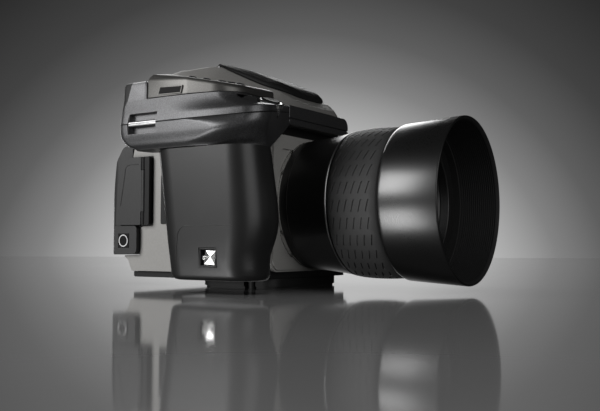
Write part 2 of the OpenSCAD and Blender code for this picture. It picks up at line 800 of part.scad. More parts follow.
// How far the outer side of the battery grip draws in at a height
function battery_side(z) = flow(z, [[battery_bottom, 2.2], [30, 0.6], [battery_top, 0]]);

// Plan of the battery grip at a height: it leans forward to the finger bulge and draws in below
function battery_plan(z) =
    let (
        bulge = flow(z, [[battery_bottom, 0], [19, 0.2], [27, 2.6], [35, 4], [45, 3.6], [60, 1.8],
            [battery_top, 0]]),
        back = flow(z, [[battery_bottom, 8.6], [40, 4.5], [battery_top, 0]]),
        side = battery_side(z),
        front = battery_rear - battery_len
    )
    [[-battery_in, battery_rear - back, 3],
     [-battery_out + side, battery_rear - back + battery_heel, 24],
     [-battery_out + side, front - bulge * 0.8, 27],
     [-battery_in - 5.5 + bulge, front - bulge, 14],
     [-battery_in, front + 28, 10]];
function battery_ring(z, d = 0) =
    [for (p = outline(inset(battery_plan(z), d), battery_chords)) [p.x, p.y, z]];

module battery_grip() color(black_rubber) difference() {
    loft(concat(
        [for (a = [0:30:60]) battery_ring(battery_bottom + battery_edge * (1 - cos(a)),
            battery_edge * (1 - sin(a)))],
        [for (z = battery_stations) battery_ring(z)]));
    rail_cut(battery_top + 1);
    translate([-lever_x, lever_y, lever_z])
        cube([2 * frame_depth, lever_len + 2 * frame_w, lever_h + 2 * frame_w], center = true);
}

module battery_lever_frame() color(black_metal) difference() {
    proud = 0.3;
    floor_t = 2;
    depth = frame_depth - seam_gap + proud;
    translate([-lever_x - proud + depth / 2, lever_y, lever_z])
        cube([depth, lever_len + 2 * frame_w - 2 * seam_gap, lever_h + 2 * frame_w - 2 * seam_gap],
            center = true);
    translate([-lever_x, lever_y, lever_z])
        cube([2 * (depth - floor_t), lever_len + 2 * run_gap, lever_h + 2 * run_gap], center = true);
}

// Swings out about its rear edge
module battery_lever() color(chrome)
    translate([-lever_x + lever_t / 2, lever_y + lever_len / 2 - lever_t / 2, lever_z]) {
    translate([-lever_t / 2, -lever_len + lever_t / 2, -lever_h / 2])
        cube([lever_t, lever_len - lever_t / 2, lever_h]);
    cylinder(d = lever_t, h = lever_h, center = true);
}

module finder_fascia() color(charcoal) difference() {
    translate([0, fascia_front + (body_front - seam_gap - fascia_front), 0])
        rotate([90, 0, 0]) linear_extrude(body_front - seam_gap - fascia_front) fascia_outline();
    translate([-fascia_x - 1, fascia_front - 1, fascia_groove_z]) cube([fascia_w + 2, 1.8, 0.7]);
}

module fascia_outline() {
    polygon(outline([[-fascia_x, fascia_top, 0.6], [-fascia_x, fascia_bottom, 2],
        [fascia_x, fascia_bottom, 2], [fascia_x, fascia_top, 6]], 6));
}

// Front view of the finder housing at a distance behind the socket
function housing_section(y) =
    let (
        top = flow(y, [[fascia_front + 0.6, brow_z + 2.4], [-38, finder_top - 23.4],
            [-33, finder_top - 20], [-19, finder_top - 14.6],
            [5, finder_top - 3.4], [9, finder_top - 1.2], [13, finder_top - 0.2], [16, finder_top],
                [50, finder_top], [housing_rear, finder_top - 2]]),
        foot_x = lookup(y, [[fascia_front + 0.6, 15], [fascia_front + 1.6, 21], [fascia_front + 4, 27],
            [-35, fascia_x], [-30, fascia_x + 5], [-22, body_x - 2], [-16, body_x],
            [40, body_x], [housing_rear, 34]]),
        shoulder = lookup(y, [[fascia_front + 0.6, brow_z + 0.6], [-38, brow_z + 1.4],
            [-19, brow_z + 2.5], [10, brow_z + 6],
            [40, brow_z + 6], [housing_rear, brow_z + 3]]),
        crown = lookup(y, [[fascia_front + 0.6, 13], [fascia_front + 1.6, 18], [fascia_front + 4, 22],
            [-33, crown_x], [40, crown_x], [housing_rear, crown_x - 3]]),
        soft = lookup(y, [[10, 2.5], [22, 5], [housing_rear, 6]]),
        foot_z = y < body_front ? brow_z : housing_bottom
    )
    [[-foot_x, foot_z, 0.4], [foot_x, foot_z, 0.4], [foot_x, shoulder, 6], [crown, top, soft],
        [-crown, top, soft], [-foot_x, shoulder, 6]];
function housing_ring(y) = [for (p = outline(housing_section(y), 5)) [p.x, y, p.y]];

module prism_profile(grow) {
    front = light_y - light_len / 2 - grow;
    rear = light_y + light_len / 2 + grow;
    peak = light_y + light_len / 2 - 24;
    polygon([[front, prism_base - grow], [rear, prism_base - grow], [rear, prism_base + 28 + grow],
        [peak, finder_top - 12 + grow], [front + 4, prism_base + 24 + grow]]);
}

module finder_housing() color(warm_grey) difference() {
    loft([for (y = housing_stations) housing_ring(y)]);
    side_slab(-prism_w / 2 - seam_gap, prism_w / 2 + seam_gap) prism_profile(seam_gap);
    translate([0, lid_hinge_y, lid_hinge_z])
        cube([2 * lid_x + 2 * run_gap, 2 * lid_hinge_r + 2 * run_gap, 2 * lid_hinge_r + 2 * run_gap],
        center = true);
    translate([0, lid_hinge_y, lid_hinge_z]) rod_x(lid_pin_r, -crown_x - 4, crown_x + 4);
    translate([-shoe_w / 2 - seam_gap, shoe_front - seam_gap, shoe_floor])
        cube([shoe_w + 2 * seam_gap, housing_rear, 10]);
    translate(dioptre_at) rod_x(dioptre_r + run_gap, 0, dioptre_len + 2);
}

module prism() color(glass_tint) side_slab(-prism_w / 2, prism_w / 2) prism_profile(0);

module eyepiece_tube() color(black_metal) difference() {
    front_slab(tube_rear, tube_rear - housing_rear - seam_gap)
        translate([0, eyepiece_z]) rounded_rect(eyepiece_w, eyepiece_h, 8);
    front_slab(tube_rear + 1, 9)
        translate([0, eyepiece_z]) rounded_rect(window_w, window_h, 4);
}

module eyepiece_glass() color(glass_tint)
    front_slab(tube_rear - 5, 3) translate([0, eyepiece_z])
        rounded_rect(window_w - 2 * seam_gap, window_h - 2 * seam_gap, 3.6);

module eyecup() color(black_rubber) difference() {
    union() {
        front_slab(tube_rear + 5, 5) translate([0, eyepiece_z])
            rounded_rect(eyepiece_w - 6, eyepiece_h - 4, 8);
        front_slab(eyecup_rear, eyecup_len - 5) translate([0, eyepiece_z])
            rounded_rect(eyepiece_w, eyepiece_h, 10);
    }
    front_slab(eyecup_rear + 1, eyecup_len + 2) translate([0, eyepiece_z])
        rounded_rect(window_w, window_h, 4);
}

module dioptre_knob() color(black_rubber) translate(dioptre_at) difference() {
    rod_x(dioptre_r, run_gap, dioptre_len);
    for (i = [0:11])
        rotate([i * 30, 0, 0]) translate([7, 0, 5]) rotate([45, 0, 0])
            cube([8, 0.9, 0.9], center = true);
}

// Front view of the flash lid at a distance behind the socket
function lid_section(y) =
    let (
        under = max(housing_section(y)[3].y, brow_z) + run_gap,
        t = flow(y, [[lid_front, 3], [lid_front + 4, lid_t - 1.2], [-23, lid_t - 0.4],
            [-10, lid_t - 0.4], [0, lid_t - 1.6], [lid_hinge_y, 2]]),
        x = flow(y, [[lid_front, 9], [lid_front + 1, 15], [lid_front + 3, 20],
            [lid_front + 6.5, lid_x - 2.6], [lid_front + 11, lid_x],
            [lid_hinge_y, lid_x]])
    )
    [[-x, under, 0.5], [x, under, 0.5], [x - 0.4, under + 0.45 * t, 1.5], [x * 0.72, under + t, 9],
     [-x * 0.72, under + t, 9], [-x + 0.4, under + 0.45 * t, 1.5]];
function lid_ring(y) = [for (p = outline(lid_section(y), 5)) [p.x, y, p.y]];

module flash_lid() color(charcoal) difference() {
    union() {
        loft([for (y = lid_stations) lid_ring(y)]);
        translate([0, lid_hinge_y, lid_hinge_z]) rod_x(lid_hinge_r, -lid_x, lid_x);
    }
    translate([0, lid_hinge_y, lid_hinge_z]) rod_x(lid_pin_r + pin_gap, -lid_x - 1, lid_x + 1);
    flash_pocket(seam_gap);
}

module flash_pocket(grow) {
    translate([0, -26, housing_section(-26)[3].y + 1.4]) rotate([22, 0, 0])
        cube([30 + 2 * grow, 9 + 2 * grow, 2 + 2 * grow], center = true);
}

module flash_window() color(glass_tint) flash_pocket(0);

module flash_hinge_pin() color(chrome) translate([0, lid_hinge_y, lid_hinge_z])
    rod_x(lid_pin_r, -crown_x - 0.6, crown_x + 0.6);

module accessory_shoe() color(chrome) translate([0, shoe_front + shoe_len, shoe_floor])
    rotate([90, 0, 0]) linear_extrude(shoe_len)
    polygon([[-shoe_w / 2, 0], [shoe_w / 2, 0], [shoe_w / 2, shoe_slot_h + 1.8],
        [shoe_lip_w / 2, shoe_slot_h + 1.8], [shoe_lip_w / 2, shoe_slot_h + 0.8],
        [shoe_slot_w / 2, shoe_slot_h + 0.8], [shoe_slot_w / 2, 0.8],
        [-shoe_slot_w / 2, 0.8], [-shoe_slot_w / 2, shoe_slot_h + 0.8],
        [-shoe_lip_w / 2, shoe_slot_h + 0.8], [-shoe_lip_w / 2, shoe_slot_h + 1.8],
        [-shoe_w / 2, shoe_slot_h + 1.8]]);

// Side view of the back's grey housing, as [y, z] corners
function housing_side() =
    [[back_front, back_top, 3], [back_front, lip_z, 1], [lip_rear, lip_z, 1.5], [69.4, 15.4, 3],
     [74, 17.8, 2], [block_front - 0.2, 18.2, 0.6], [block_front - 0.2, door_bottom - 1, 2],
     [door_front - 7, door_bottom - 0.5, 1], [door_front - 7, door_top + 0.4, 1],
     [lip_rear, door_top + 0.4, 0.6], [64, back_top, 3]];

module back_housing() color(warm_grey) difference() {
    side_slab(-back_x, back_x) polygon(outline(housing_side(), 4));
    front_slab(back_front + carrier_t + seam_gap, carrier_t + seam_gap + 1)
        translate([0, lens_z]) square([carrier_w + 2 * seam_gap, carrier_h + 2 * seam_gap],
            center = true);
}

// Side view of the dark rear cover
function cover_side() =
    [[lip_rear + 0.2, back_top, 2], [lip_rear + 0.18, door_top + 0.2, 0.5],
        [door_front - 6.8, door_top + 0.2, 0.5],
        [door_front - 6.8, door_bottom - 0.3, 0.5],
     [block_front, door_bottom - 0.8, 2], [block_front, block_bottom, 0.5], [82, 18.2, 0.6],
         [back_rear, 20.5, 4],
         [back_rear, 34, 6], [back_rear - 7, 76, 10], [back_rear - 13, back_top - 1, 5]];

module rear_block() intersection() {
    side_slab(-back_x, back_x) polygon(outline(cover_side(), 4));
    translate([0, back_rear / 2, 0]) linear_extrude(back_top + 10) rounded_rect(back_w, back_rear, 9);
}

// Pad below the card door, level with it
module door_pad() {
    rear = back_rear - 9;
    bottom = block_bottom + 0.2;
    top = door_bottom - 2 * run_gap;
    side_slab(-back_x - run_gap - door_t, -back_x + 1)
        polygon(outline([[block_front, top, 2], [block_front, bottom, 3], [rear, bottom, 2],
            [rear, top, 1]], 4));
}

module back_cover() color(charcoal) difference() {
    union() {
        rear_block();
        door_pad();
    }
    translate([-back_x - 1, slot_y - slot_w / 2, door_bottom + slot_margin])
        cube([slot_depth + 1, slot_w, door_top - door_bottom - 2 * slot_margin]);
    on_screen() cube([screen_w + 2 * seam_gap, screen_h + 2 * seam_gap, 3], center = true);
    for (x = [-key_x, key_x]) translate([x, back_rear, pad_z])
        cube([key_size.x + 2 * run_gap, 4, key_size.y + 2 * run_gap], center = true);
    translate([0, back_rear, pad_z])
        cube([pad_size.x + 2 * run_gap, 4, pad_size.y + 2 * run_gap], center = true);
}

// Rear display plane, drawn along the outward normal
module on_screen() {
    translate([0, back_rear - 3.5, 55]) rotate([-90 + screen_tilt, 0, 0]) children();
}

module rear_display() color(glass_tint) on_screen() translate([0, 0, -1.4]) linear_extrude(1.2)
    rounded_rect(screen_w, screen_h, 2);

module back_foot() color(black_metal) side_slab(-back_x + 2, back_x - 2)
    polygon(outline([[34, lip_z - seam_gap, 0.4], [34, foot_z, 0.8], [lip_rear, foot_z, 1],
        [lip_rear, lip_z - seam_gap, 0.4]], 3));

module sensor_carrier() color(black_metal) front_slab(back_front + carrier_t, carrier_t)
    translate([0, lens_z]) square([carrier_w, carrier_h], center = true);

module sensor_glass() color(glass_tint) front_slab(back_front, back_front - film_y)
    translate([0, lens_z]) square([sensor_w, sensor_h], center = true);

// Side view of the card door
function door_side() =
    [[door_front, door_top, 0.8], [door_front, door_bottom, 0.8], [76.8, door_bottom, 0.8],
        [75.6, 60, 20], [73.4, 70, 8], [70, door_top, 2]];

module card_door() color(charcoal) difference() {
    union() {
        side_slab(-back_x - run_gap - door_t, -back_x - run_gap) polygon(outline(door_side(), 4));
        translate([hinge_x, hinge_y, door_bottom + knuckle_len])
            cylinder(r = knuckle_r, h = door_top - door_bottom - 2 * knuckle_len);
        translate([hinge_x - 1, hinge_y, door_bottom + knuckle_len])
            cube([2, 2, door_top - door_bottom - 2 * knuckle_len]);
    }
    translate([hinge_x, hinge_y, door_bottom])
        cylinder(r = door_pin_r + pin_gap, h = door_top - door_bottom);
    for (z = [door_bottom - 1, door_top - knuckle_len])
        translate([hinge_x, hinge_y, z]) cylinder(r = knuckle_r + run_gap, h = knuckle_len + 1);
}

// Strip beside the door with the outer knuckles of its hinge
module card_hinge() color(black_metal) difference() {
    rear = hinge_y - knuckle_r - run_gap;
    front = door_front - strip_w;
    union() {
        side_slab(-back_x - run_gap - door_t, -back_x)
            polygon(outline([[front, door_top, 0.8], [front, door_bottom, 0.8],
                [rear, door_bottom, 0.6],
                [rear, door_top, 0.6]], 3));
        for (z = [door_bottom, door_top - knuckle_len + run_gap]) {
            translate([hinge_x, hinge_y, z]) cylinder(r = knuckle_r, h = knuckle_len - run_gap);
            translate([hinge_x - 1, hinge_y - knuckle_r - 1, z]) cube([2, 2, knuckle_len - run_gap]);
        }
    }
    translate([hinge_x, hinge_y, door_bottom - 1])
        cylinder(r = door_pin_r, h = door_top - door_bottom + 2);
}

module card_hinge_pin() color(chrome) translate([hinge_x, hinge_y, door_bottom])
    cylinder(r = door_pin_r, h = door_top - door_bottom);

module rear_key(x, w, h) color(black_rubber) translate([x, back_rear + 0.6, pad_z]) rotate([90, 0, 0])
    linear_extrude(1.6) rounded_rect(w, h, 1.5);
module navigation_pad() rear_key(0, pad_size.x, pad_size.y);
module left_key() rear_key(-key_x, key_size.x, key_size.y);
module right_key() rear_key(key_x, key_size.x, key_size.y);
module back_release() color(chrome) translate([left_x, body_rear - 10, lens_z + 10])
    rod_x(3, -1.2, 1.4);

// Release button in the lower corner of the front plate, away from the grip
module lens_release() color(chrome) front_slab(plate_front + release_in, release_in + release_rise)
    translate(release_at) circle(d = release_d);

module lens_barrel() color(black_metal) {
    step_s = 5;
    flare = focus_r - 1.4;
    rear = run_gap / 2;
    turned(concat(
        [[bore_r, -tail_len], [tail_r, -tail_len], [tail_r, rear], [barrel_rear_r, rear],
            [barrel_rear_r, step_s],
         [barrel_rear_r + 0.7, step_s + 0.5]],
        [for (i = [1:6]) let (q = i / 6)
            [barrel_rear_r + 0.7 + (flare - barrel_rear_r - 0.7) * q * q * (1.5 - 0.5 * q),
            step_s + 0.5 + (barrel_len - step_s - 0.5) * q]],
        [[tube_r, barrel_len], [tube_r, front_s - seam_gap], [bore_r, front_s - seam_gap]]));
    for (i = [0:lug_count - 1])
        on_lens() rotate(i * 360 / lug_count) translate([0, 0, -tail_len])
            rotate_extrude(angle = lug_angle) translate([tail_r - 0.5, 0])
                square([lug_r - tail_r + 0.5, lug_t]);
}

module trim_ring() color(chrome)
    turned([[tube_r, barrel_len], [focus_r - 1.1, barrel_len], [focus_r - 1.1, barrel_len + trim_len],
    [tube_r, barrel_len + trim_len]]);

module focus_ring() color(black_rubber) {
    steps = 8;
    edge = 1;
    crown = 0.8;
    turned(concat(
        [[tube_r + run_gap, focus_s], [focus_r - crown - edge, focus_s]],
        [for (i = [0:steps]) let (q = i / steps)
            [focus_r - crown * pow(2 * q - 1, 2), focus_s + edge + (focus_ring_len - 2 * edge) * q]],
        [[focus_r - crown - edge, focus_s + focus_ring_len],
            [tube_r + run_gap, focus_s + focus_ring_len]]));
}

module front_ring() color(black_metal)
    turned([[bore_r, front_s], [front_ring_r, front_s], [front_ring_r, lens_len - 0.6],
    [front_ring_r - 0.6, lens_len], [filter_r, lens_len], [filter_r, lens_len - 5],
        [bore_r, lens_len - 6]]);

// Front and rear elements, each with one convex face
module lens_glass() color(glass_tint) {
    bulge = 3;
    glass_r = bore_r - glass_fit;
    ball_r = (glass_r * glass_r + bulge * bulge) / (2 * bulge);
    for (face = [[front_s - glass_t, 1], [2, -1]])
        on_lens() translate([0, 0, face[0]]) mirror([0, 0, face[1] < 0 ? 1 : 0]) intersection() {
            translate([0, 0, -1]) cylinder(r = glass_r, h = glass_t);
            translate([0, 0, glass_t - 1 - ball_r]) sphere(r = ball_r, $fn = 128);
        }
}

module leaf_shutter() color(black_metal) on_lens() translate([0, 0, barrel_len - 2]) difference() {
    cylinder(r = bore_r - glass_fit, h = 3);
    translate([0, 0, -1]) cylinder(r = 14, h = 5, $fn = 5);
}

module lens_hood() color(black_metal) {
    rear_r = front_ring_r + run_gap;
    soft = 3;
    end = hood_s + hood_len;
    turned(concat(
        [[rear_r, hood_s]],
        [for (a = [0:15:90]) [hood_rear_r - soft * (1 - sin(a)) * (hood_wall / soft),
            hood_s + soft * (1 - cos(a))]],
        [[hood_rim_r, end - 0.5], [hood_rim_r - 0.5, end], [hood_rim_r - hood_wall + 0.4, end],
            [hood_rim_r - hood_wall, end - 0.6],
         [hood_rim_r - hood_wall - 0.6, hood_s + 20], [hood_rim_r - hood_wall - 1.2, hood_s + 20],
             [rear_r + 0.6, lens_len + 3.6],
         [rear_r, lens_len + 3.6]]));
}

body_casting();
front_plate();
lens_mount();
base_plate();
left_cover();
reflex_mirror();
focusing_screen();
light_baffle();
grip_lower_shell();
grip_upper_shell();
grip_top_cover();
grip_display();
thumb_rest();
strap_bars();
grip_rail();
battery_grip();
battery_lever_frame();
battery_lever();
shutter_collar();
shutter_button();
front_wheel();
rear_wheel();
wheel_axles();
top_button_1();
top_button_2();
top_button_3();
top_button_4();
top_button_5();
finder_fascia();
finder_housing();
prism();
eyepiece_tube();
eyepiece_glass();
eyecup();
dioptre_knob();
flash_lid();
flash_window();
flash_hinge_pin();
accessory_shoe();
back_housing();
back_cover();
back_foot();
sensor_carrier();
sensor_glass();
card_door();
card_hinge();
card_hinge_pin();
rear_display();
navigation_pad();
left_key();
right_key();
back_release();
lens_release();
lens_barrel();
trim_ring();
focus_ring();
front_ring();
lens_glass();
leaf_shutter();
lens_hood();
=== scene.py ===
# %% [markdown]
# # A medium format digital camera, dressed for the studio
# The solids of this camera were built first, with their joints. Here they get their finishes and
# the small forms that make them look like the real thing: softened edges, grooves, screws, glass.
# The frame is loaded as it is, in metres, so every new piece can use the real sizes directly.

# %% Load the frame
import bmesh
import bpy
import json
from math import cos, pi, radians, sin, tan
from mathutils import Matrix, Vector
from mathutils.bvhtree import BVHTree

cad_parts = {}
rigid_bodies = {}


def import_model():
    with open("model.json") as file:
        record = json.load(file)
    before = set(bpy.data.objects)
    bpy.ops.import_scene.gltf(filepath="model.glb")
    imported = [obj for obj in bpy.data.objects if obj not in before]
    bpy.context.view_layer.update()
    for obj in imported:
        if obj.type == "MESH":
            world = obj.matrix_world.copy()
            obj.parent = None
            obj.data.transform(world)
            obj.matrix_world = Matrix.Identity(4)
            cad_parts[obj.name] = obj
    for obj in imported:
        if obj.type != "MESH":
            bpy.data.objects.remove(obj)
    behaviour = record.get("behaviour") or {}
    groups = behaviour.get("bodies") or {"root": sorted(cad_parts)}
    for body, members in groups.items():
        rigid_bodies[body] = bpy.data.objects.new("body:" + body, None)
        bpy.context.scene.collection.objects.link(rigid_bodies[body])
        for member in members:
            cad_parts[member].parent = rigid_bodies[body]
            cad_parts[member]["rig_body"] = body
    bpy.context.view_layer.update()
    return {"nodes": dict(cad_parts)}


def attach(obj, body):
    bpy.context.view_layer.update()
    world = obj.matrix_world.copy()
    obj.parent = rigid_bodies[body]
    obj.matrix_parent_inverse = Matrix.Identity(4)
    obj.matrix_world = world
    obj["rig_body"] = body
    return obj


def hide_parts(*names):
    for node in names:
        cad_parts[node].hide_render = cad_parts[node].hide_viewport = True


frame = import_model()
MM = 0.001

# %% [markdown]
# ## The viewpoint
# The picture was taken from low down, in front of the hand grip, a little less than half a metre
# away. A camera could be aimed with a constraint, but a fixed place and three turns are easier to
# keep: a heading about Z, a slight upward pitch, and a very small roll.

# %% Camera
VIEW_PLACE = (-0.41172, -0.29646, 0.02493)
VIEW_HEADING = radians(-57.068)
VIEW_PITCH = radians(2.690)
VIEW_ROLL = radians(0.184)

view = bpy.data.cameras.new("studio_view")
view.sensor_width = 36.0
view.lens = 49.48
viewer = bpy.data.objects.new("studio_view", view)
bpy.context.scene.collection.objects.link(viewer)
viewer.matrix_world = (
    Matrix.Translation(VIEW_PLACE)
    @ Matrix.Rotation(VIEW_HEADING, 4, "Z")
    @ Matrix.Rotation(radians(90) + VIEW_PITCH, 4, "X")
    @ Matrix.Rotation(VIEW_ROLL, 4, "Z")
)
bpy.context.scene.camera = viewer
bpy.context.scene.view_settings.view_transform = "Standard"
print("lens, mm:", round(view.lens, 2))

# %% [markdown]
# ## Shader sums in plain Python
# A finish is a tree of nodes, and a tree could be built link by link. It is easier to read as a sum.
# This small class holds one output socket: adding, subtracting or multiplying it makes the Math node,
# a number may stand on the left of a plus, and `node` makes any other node from its type, its settings
# and its inputs.

# %% Wire
class Wire:
    """One output socket in a node tree."""

    def __init__(self, tree, socket=None):
        self.tree = tree
        self.socket = socket

    def node(self, kind, settings=None, inputs=None, out=0):
        made = self.tree.nodes.new(kind)
        for name, value in (settings or {}).items():
            if name == "stops":
                ramp = made.color_ramp.elements
                for index, (place, shade) in enumerate(value):
                    stop = ramp[index] if index < 2 else ramp.new(place)
                    stop.position = place
                    stop.color = shade
            else:
                setattr(made, name, value)
        for key, value in (inputs or {}).items():
            target = self.find(made.inputs, key)
            if isinstance(value, Wire):
                self.tree.links.new(value.socket, target)
            else:
                target.default_value = value
        return Wire(self.tree, self.find(made.outputs, out))

    @staticmethod
    def find(sockets, key):
        if isinstance(key, int):
            return sockets[key]
        return next(s for s in sockets if key in (s.identifier, s.name))

    def math(self, operation, first, second):
        return self.node("ShaderNodeMath", {"operation": operation}, {0: first, 1: second})

    def __add__(self, other):
        return self.math("ADD", self, other)

    def __radd__(self, other):
        return self.math("ADD", other, self)

    def __sub__(self, other):
        return self.math("SUBTRACT", self, other)

    def __mul__(self, other):
        return self.math("MULTIPLY", self, other)

    def mixed(self, first, second):
        """A colour between two, this wire being the share of the second."""
        return self.node(
            "ShaderNodeMix",
            {"data_type": "RGBA"},
            {"Factor_Float": self, "A_Color": first, "B_Color": second},
            "Result_Color",
        )

    def place(self):
        """Where a point is on the object, in metres."""
        return self.node("ShaderNodeTexCoord", out="Object")

    def noise(self, per_metre, detail=2.0):
        return self.node(
            "ShaderNodeTexNoise",
            inputs={"Vector": self.place(), "Scale": per_metre, "Detail": detail},
            out="Fac",
        )

    def bump(self, height, distance):
        return self.node("ShaderNodeBump", inputs={"Height": height, "Distance": distance})


def tone(red, green=None, blue=None):
    """A colour of the shader, grey where one number is given."""
    return (red, red if green is None else green, red if blue is None else blue, 1.0)


def finish(name, fixed, varied):
    """A material: fixed socket values, and a function that returns the sockets that vary."""
    made = bpy.data.materials.new(name)
    made.use_nodes = True
    tree = made.node_tree
    shader = tree.nodes["Principled BSDF"]
    for socket, value in fixed.items():
        shader.inputs[socket].default_value = value
    for socket, wire in varied(Wire(tree)).items():
        tree.links.new(wire.socket, shader.inputs[socket])
    return made


print("shader helpers ready")

# %% [markdown]
# ## Floor and wall
# The set is a plain pale table with a polished top, and a plain wall behind it. The wall could be lit
# by a lamp of its own. A soft glow painted on it by distance from one point, a little below the foot
# of the wall, is simpler, and it doesn't light the camera: only rays from the eye, or by way of a
# reflection or a glass, see that glow, and all others see a plain grey.

# %% Table and wall
AHEAD = Vector((-sin(VIEW_HEADING), cos(VIEW_HEADING), 0.0))
ASIDE = Vector((AHEAD.y, -AHEAD.x, 0.0))
TABLE_EDGE = 1.58
WALL_AWAY = 2.6
SET_WIDTH = 14.0
TABLE_GLOSS = 2.1
GLOW_REACH = 2.0
GLOW_HEIGHT = 1.1
GLOW_DROP = Vector((0.0, 0.0, -0.21))
GLOW_ENDS = [(0.0, 0.80), (1.0, 0.008)]
GLOW_BETWEEN = [(0.25, 0.62), (0.35, 0.39), (0.42, 0.22), (0.50, 0.113), (0.60, 0.054), (0.75, 0.022)]


def stage_sheet(name, centre, across, up, material):
    """A flat sheet of the set, given its middle and its two half widths."""
    shape = bmesh.new()
    half = [(-1, -1), (1, -1), (1, 1), (-1, 1)]
    shape.faces.new([shape.verts.new(centre + across * a + up * b) for a, b in half])
    bmesh.ops.recalc_face_normals(shape, faces=shape.faces)
    mesh = bpy.data.meshes.new(name)
    shape.to_mesh(mesh)
    shape.free()
    sheet = bpy.data.objects.new(name, mesh)
    bpy.context.scene.collection.objects.link(sheet)
    mesh.materials.append(material)
    return sheet


def table_top(wire):
    grain = wire.noise(9.0)
    return {
        "Base Color": grain.mixed(tone(0.34), tone(0.37)),
        "Roughness": 0.05 + grain * 0.03,
    }


def glowing_wall(name, centre):
    """A wall that shines by distance from one point, for the eye and for reflections only."""
    made = bpy.data.materials.new(name)
    made.use_nodes = True
    tree = made.node_tree
    tree.nodes.remove(tree.nodes["Principled BSDF"])
    wire = Wire(tree)
    aside = wire.node(
        "ShaderNodeVectorMath", {"operation": "SUBTRACT"}, {0: wire.place(), 1: centre})
    taller = wire.node(
        "ShaderNodeVectorMath", {"operation": "MULTIPLY"}, {0: aside, 1: (1.0, 1.0, GLOW_HEIGHT)})
    away = wire.node("ShaderNodeVectorMath", {"operation": "LENGTH"}, {0: taller}, "Value")
    glow = wire.node(
        "ShaderNodeValToRGB",
        {"stops": [(share, tone(level)) for share, level in GLOW_ENDS + GLOW_BETWEEN]},
        {"Fac": away * (1.0 / GLOW_REACH)},
    )
    paths = [wire.node("ShaderNodeLightPath", out=f"Is {kind} Ray")
             for kind in ("Camera", "Glossy", "Transmission")]
    seen = wire.math("MINIMUM", paths[0] + paths[1] + paths[2], 1.0)
    plain = wire.node("ShaderNodeBsdfDiffuse", inputs={"Color": tone(0.30)})
    shining = wire.node("ShaderNodeEmission", inputs={"Color": glow})
    both = wire.node("ShaderNodeMixShader", inputs={0: seen, 1: plain, 2: shining})
    tree.links.new(both.socket, tree.nodes["Material Output"].inputs["Surface"])
    return made


eye = Vector((VIEW_PLACE[0], VIEW_PLACE[1], 0.0))
table_middle = eye + AHEAD * (TABLE_EDGE - SET_WIDTH / 2)
table = stage_sheet("table", table_middle, ASIDE * SET_WIDTH / 2, AHEAD * SET_WIDTH / 2,
                    finish("table_top", {"IOR": TABLE_GLOSS}, table_top))
table.visible_shadow = False
table.visible_glossy = False
wall_foot = eye + AHEAD * WALL_AWAY
stage_sheet("wall", wall_foot, ASIDE * SET_WIDTH / 2, Vector((0, 0, SET_WIDTH / 4)),
            glowing_wall("wall_paint", tuple(wall_foot + GLOW_DROP)))
print("table edge, m:", TABLE_EDGE, "wall, m:", WALL_AWAY)

# %% [markdown]
# ## Lamps
# Five soft boxes light the set: two on the grip side, which make the pair of bands on the lens hood,
# one in front, one behind on the far side, and a wide one above the table. A polished table throws
# light up at the camera. Its mirror would make that light grainy, so the lower box stands under the
# table for it, and the table casts no shadow. A polished table would also show every small lamp as a
# white square, so it is left out of their light, and the wide lamp lights nothing else.

# %% Lamps
LOOK_AT = Vector((-0.03, -0.04, 0.06))
AIR_TONE = 0.45
AIR_STRENGTH = 0.08


def lit_group(name, state):
    """A collection that tells a lamp to light the table only, or everything else."""
    group = bpy.data.collections.new(name)
    group.objects.link(table)
    for item in group.collection_objects:
        item.light_linking.link_state = state
    return group


camera_only = lit_group("camera_only", "EXCLUDE")
table_only = lit_group("table_only", "INCLUDE")


def soft_box(name, place, width, height, watts, lit=camera_only):
    """A lamp in metres and watts that points at the camera and isn't seen itself."""
    lamp = bpy.data.lights.new(name, "AREA")
    lamp.shape = "RECTANGLE"
    lamp.size = width
    lamp.size_y = height
    lamp.energy = watts
    box = bpy.data.objects.new(name, lamp)
    bpy.context.scene.collection.objects.link(box)
    aim = (LOOK_AT - Vector(place)).to_track_quat("-Z", "Y")
    box.matrix_world = Matrix.Translation(place) @ aim.to_matrix().to_4x4()
    box.visible_camera = False
    box.light_linking.receiver_collection = lit
    print(name, "W:", watts)


soft_box("high_box", (-0.76, 0.44, 0.41), 0.52, 0.44, 6.6)
soft_box("low_box", (-0.81, 0.36, -0.34), 0.40, 0.42, 4.1)
soft_box("front_box", (-0.45, -1.00, 0.35), 0.8, 0.8, 4.4)
soft_box("right_box", (0.75, 0.75, 0.40), 0.9, 0.9, 13.0)
soft_box("table_box", (-0.2, 0.1, 2.4), 3.0, 3.0, 30.0, table_only)

world = bpy.data.worlds.new("studio_air")
bpy.context.scene.world = world
world.use_nodes = True
air = world.node_tree.nodes["Background"]
air.inputs["Color"].default_value = tone(AIR_TONE)
air.inputs["Strength"].default_value = AIR_STRENGTH

# %% [markdown]
# ## Metal finishes
# Nearly everything on this camera is dark, so the finishes differ by how they shine. The painted
# shells have a fine metal fleck, and the side and top plates a warm grey satin. A flat colour would
# look like a toy, and a picture of paint would not fit every shape. So noise makes a grain at its
# real size, and a little unevenness of gloss.

# %% Painted and plated metal
FLECKS_PER_METRE = 1800.0
PAINT_CLOUDS_PER_METRE = 22.0
PAINT_CLOUD_SPREAD = 0.06


def flecked(dark, light, rough, spread, grain_depth):
    """Satin paint with metal flecks of about half a millimetre."""
    def varied(wire):
        fleck = wire.noise(FLECKS_PER_METRE, 1.0)
        cloud = wire.noise(PAINT_CLOUDS_PER_METRE)
        drift = (cloud - 0.5) * PAINT_CLOUD_SPREAD
        return {
            "Base Color": fleck.mixed(dark, light),
            "Roughness": rough - spread / 2 + fleck * spread + drift,
            "Normal": wire.bump(fleck, grain_depth),
        }
    return varied


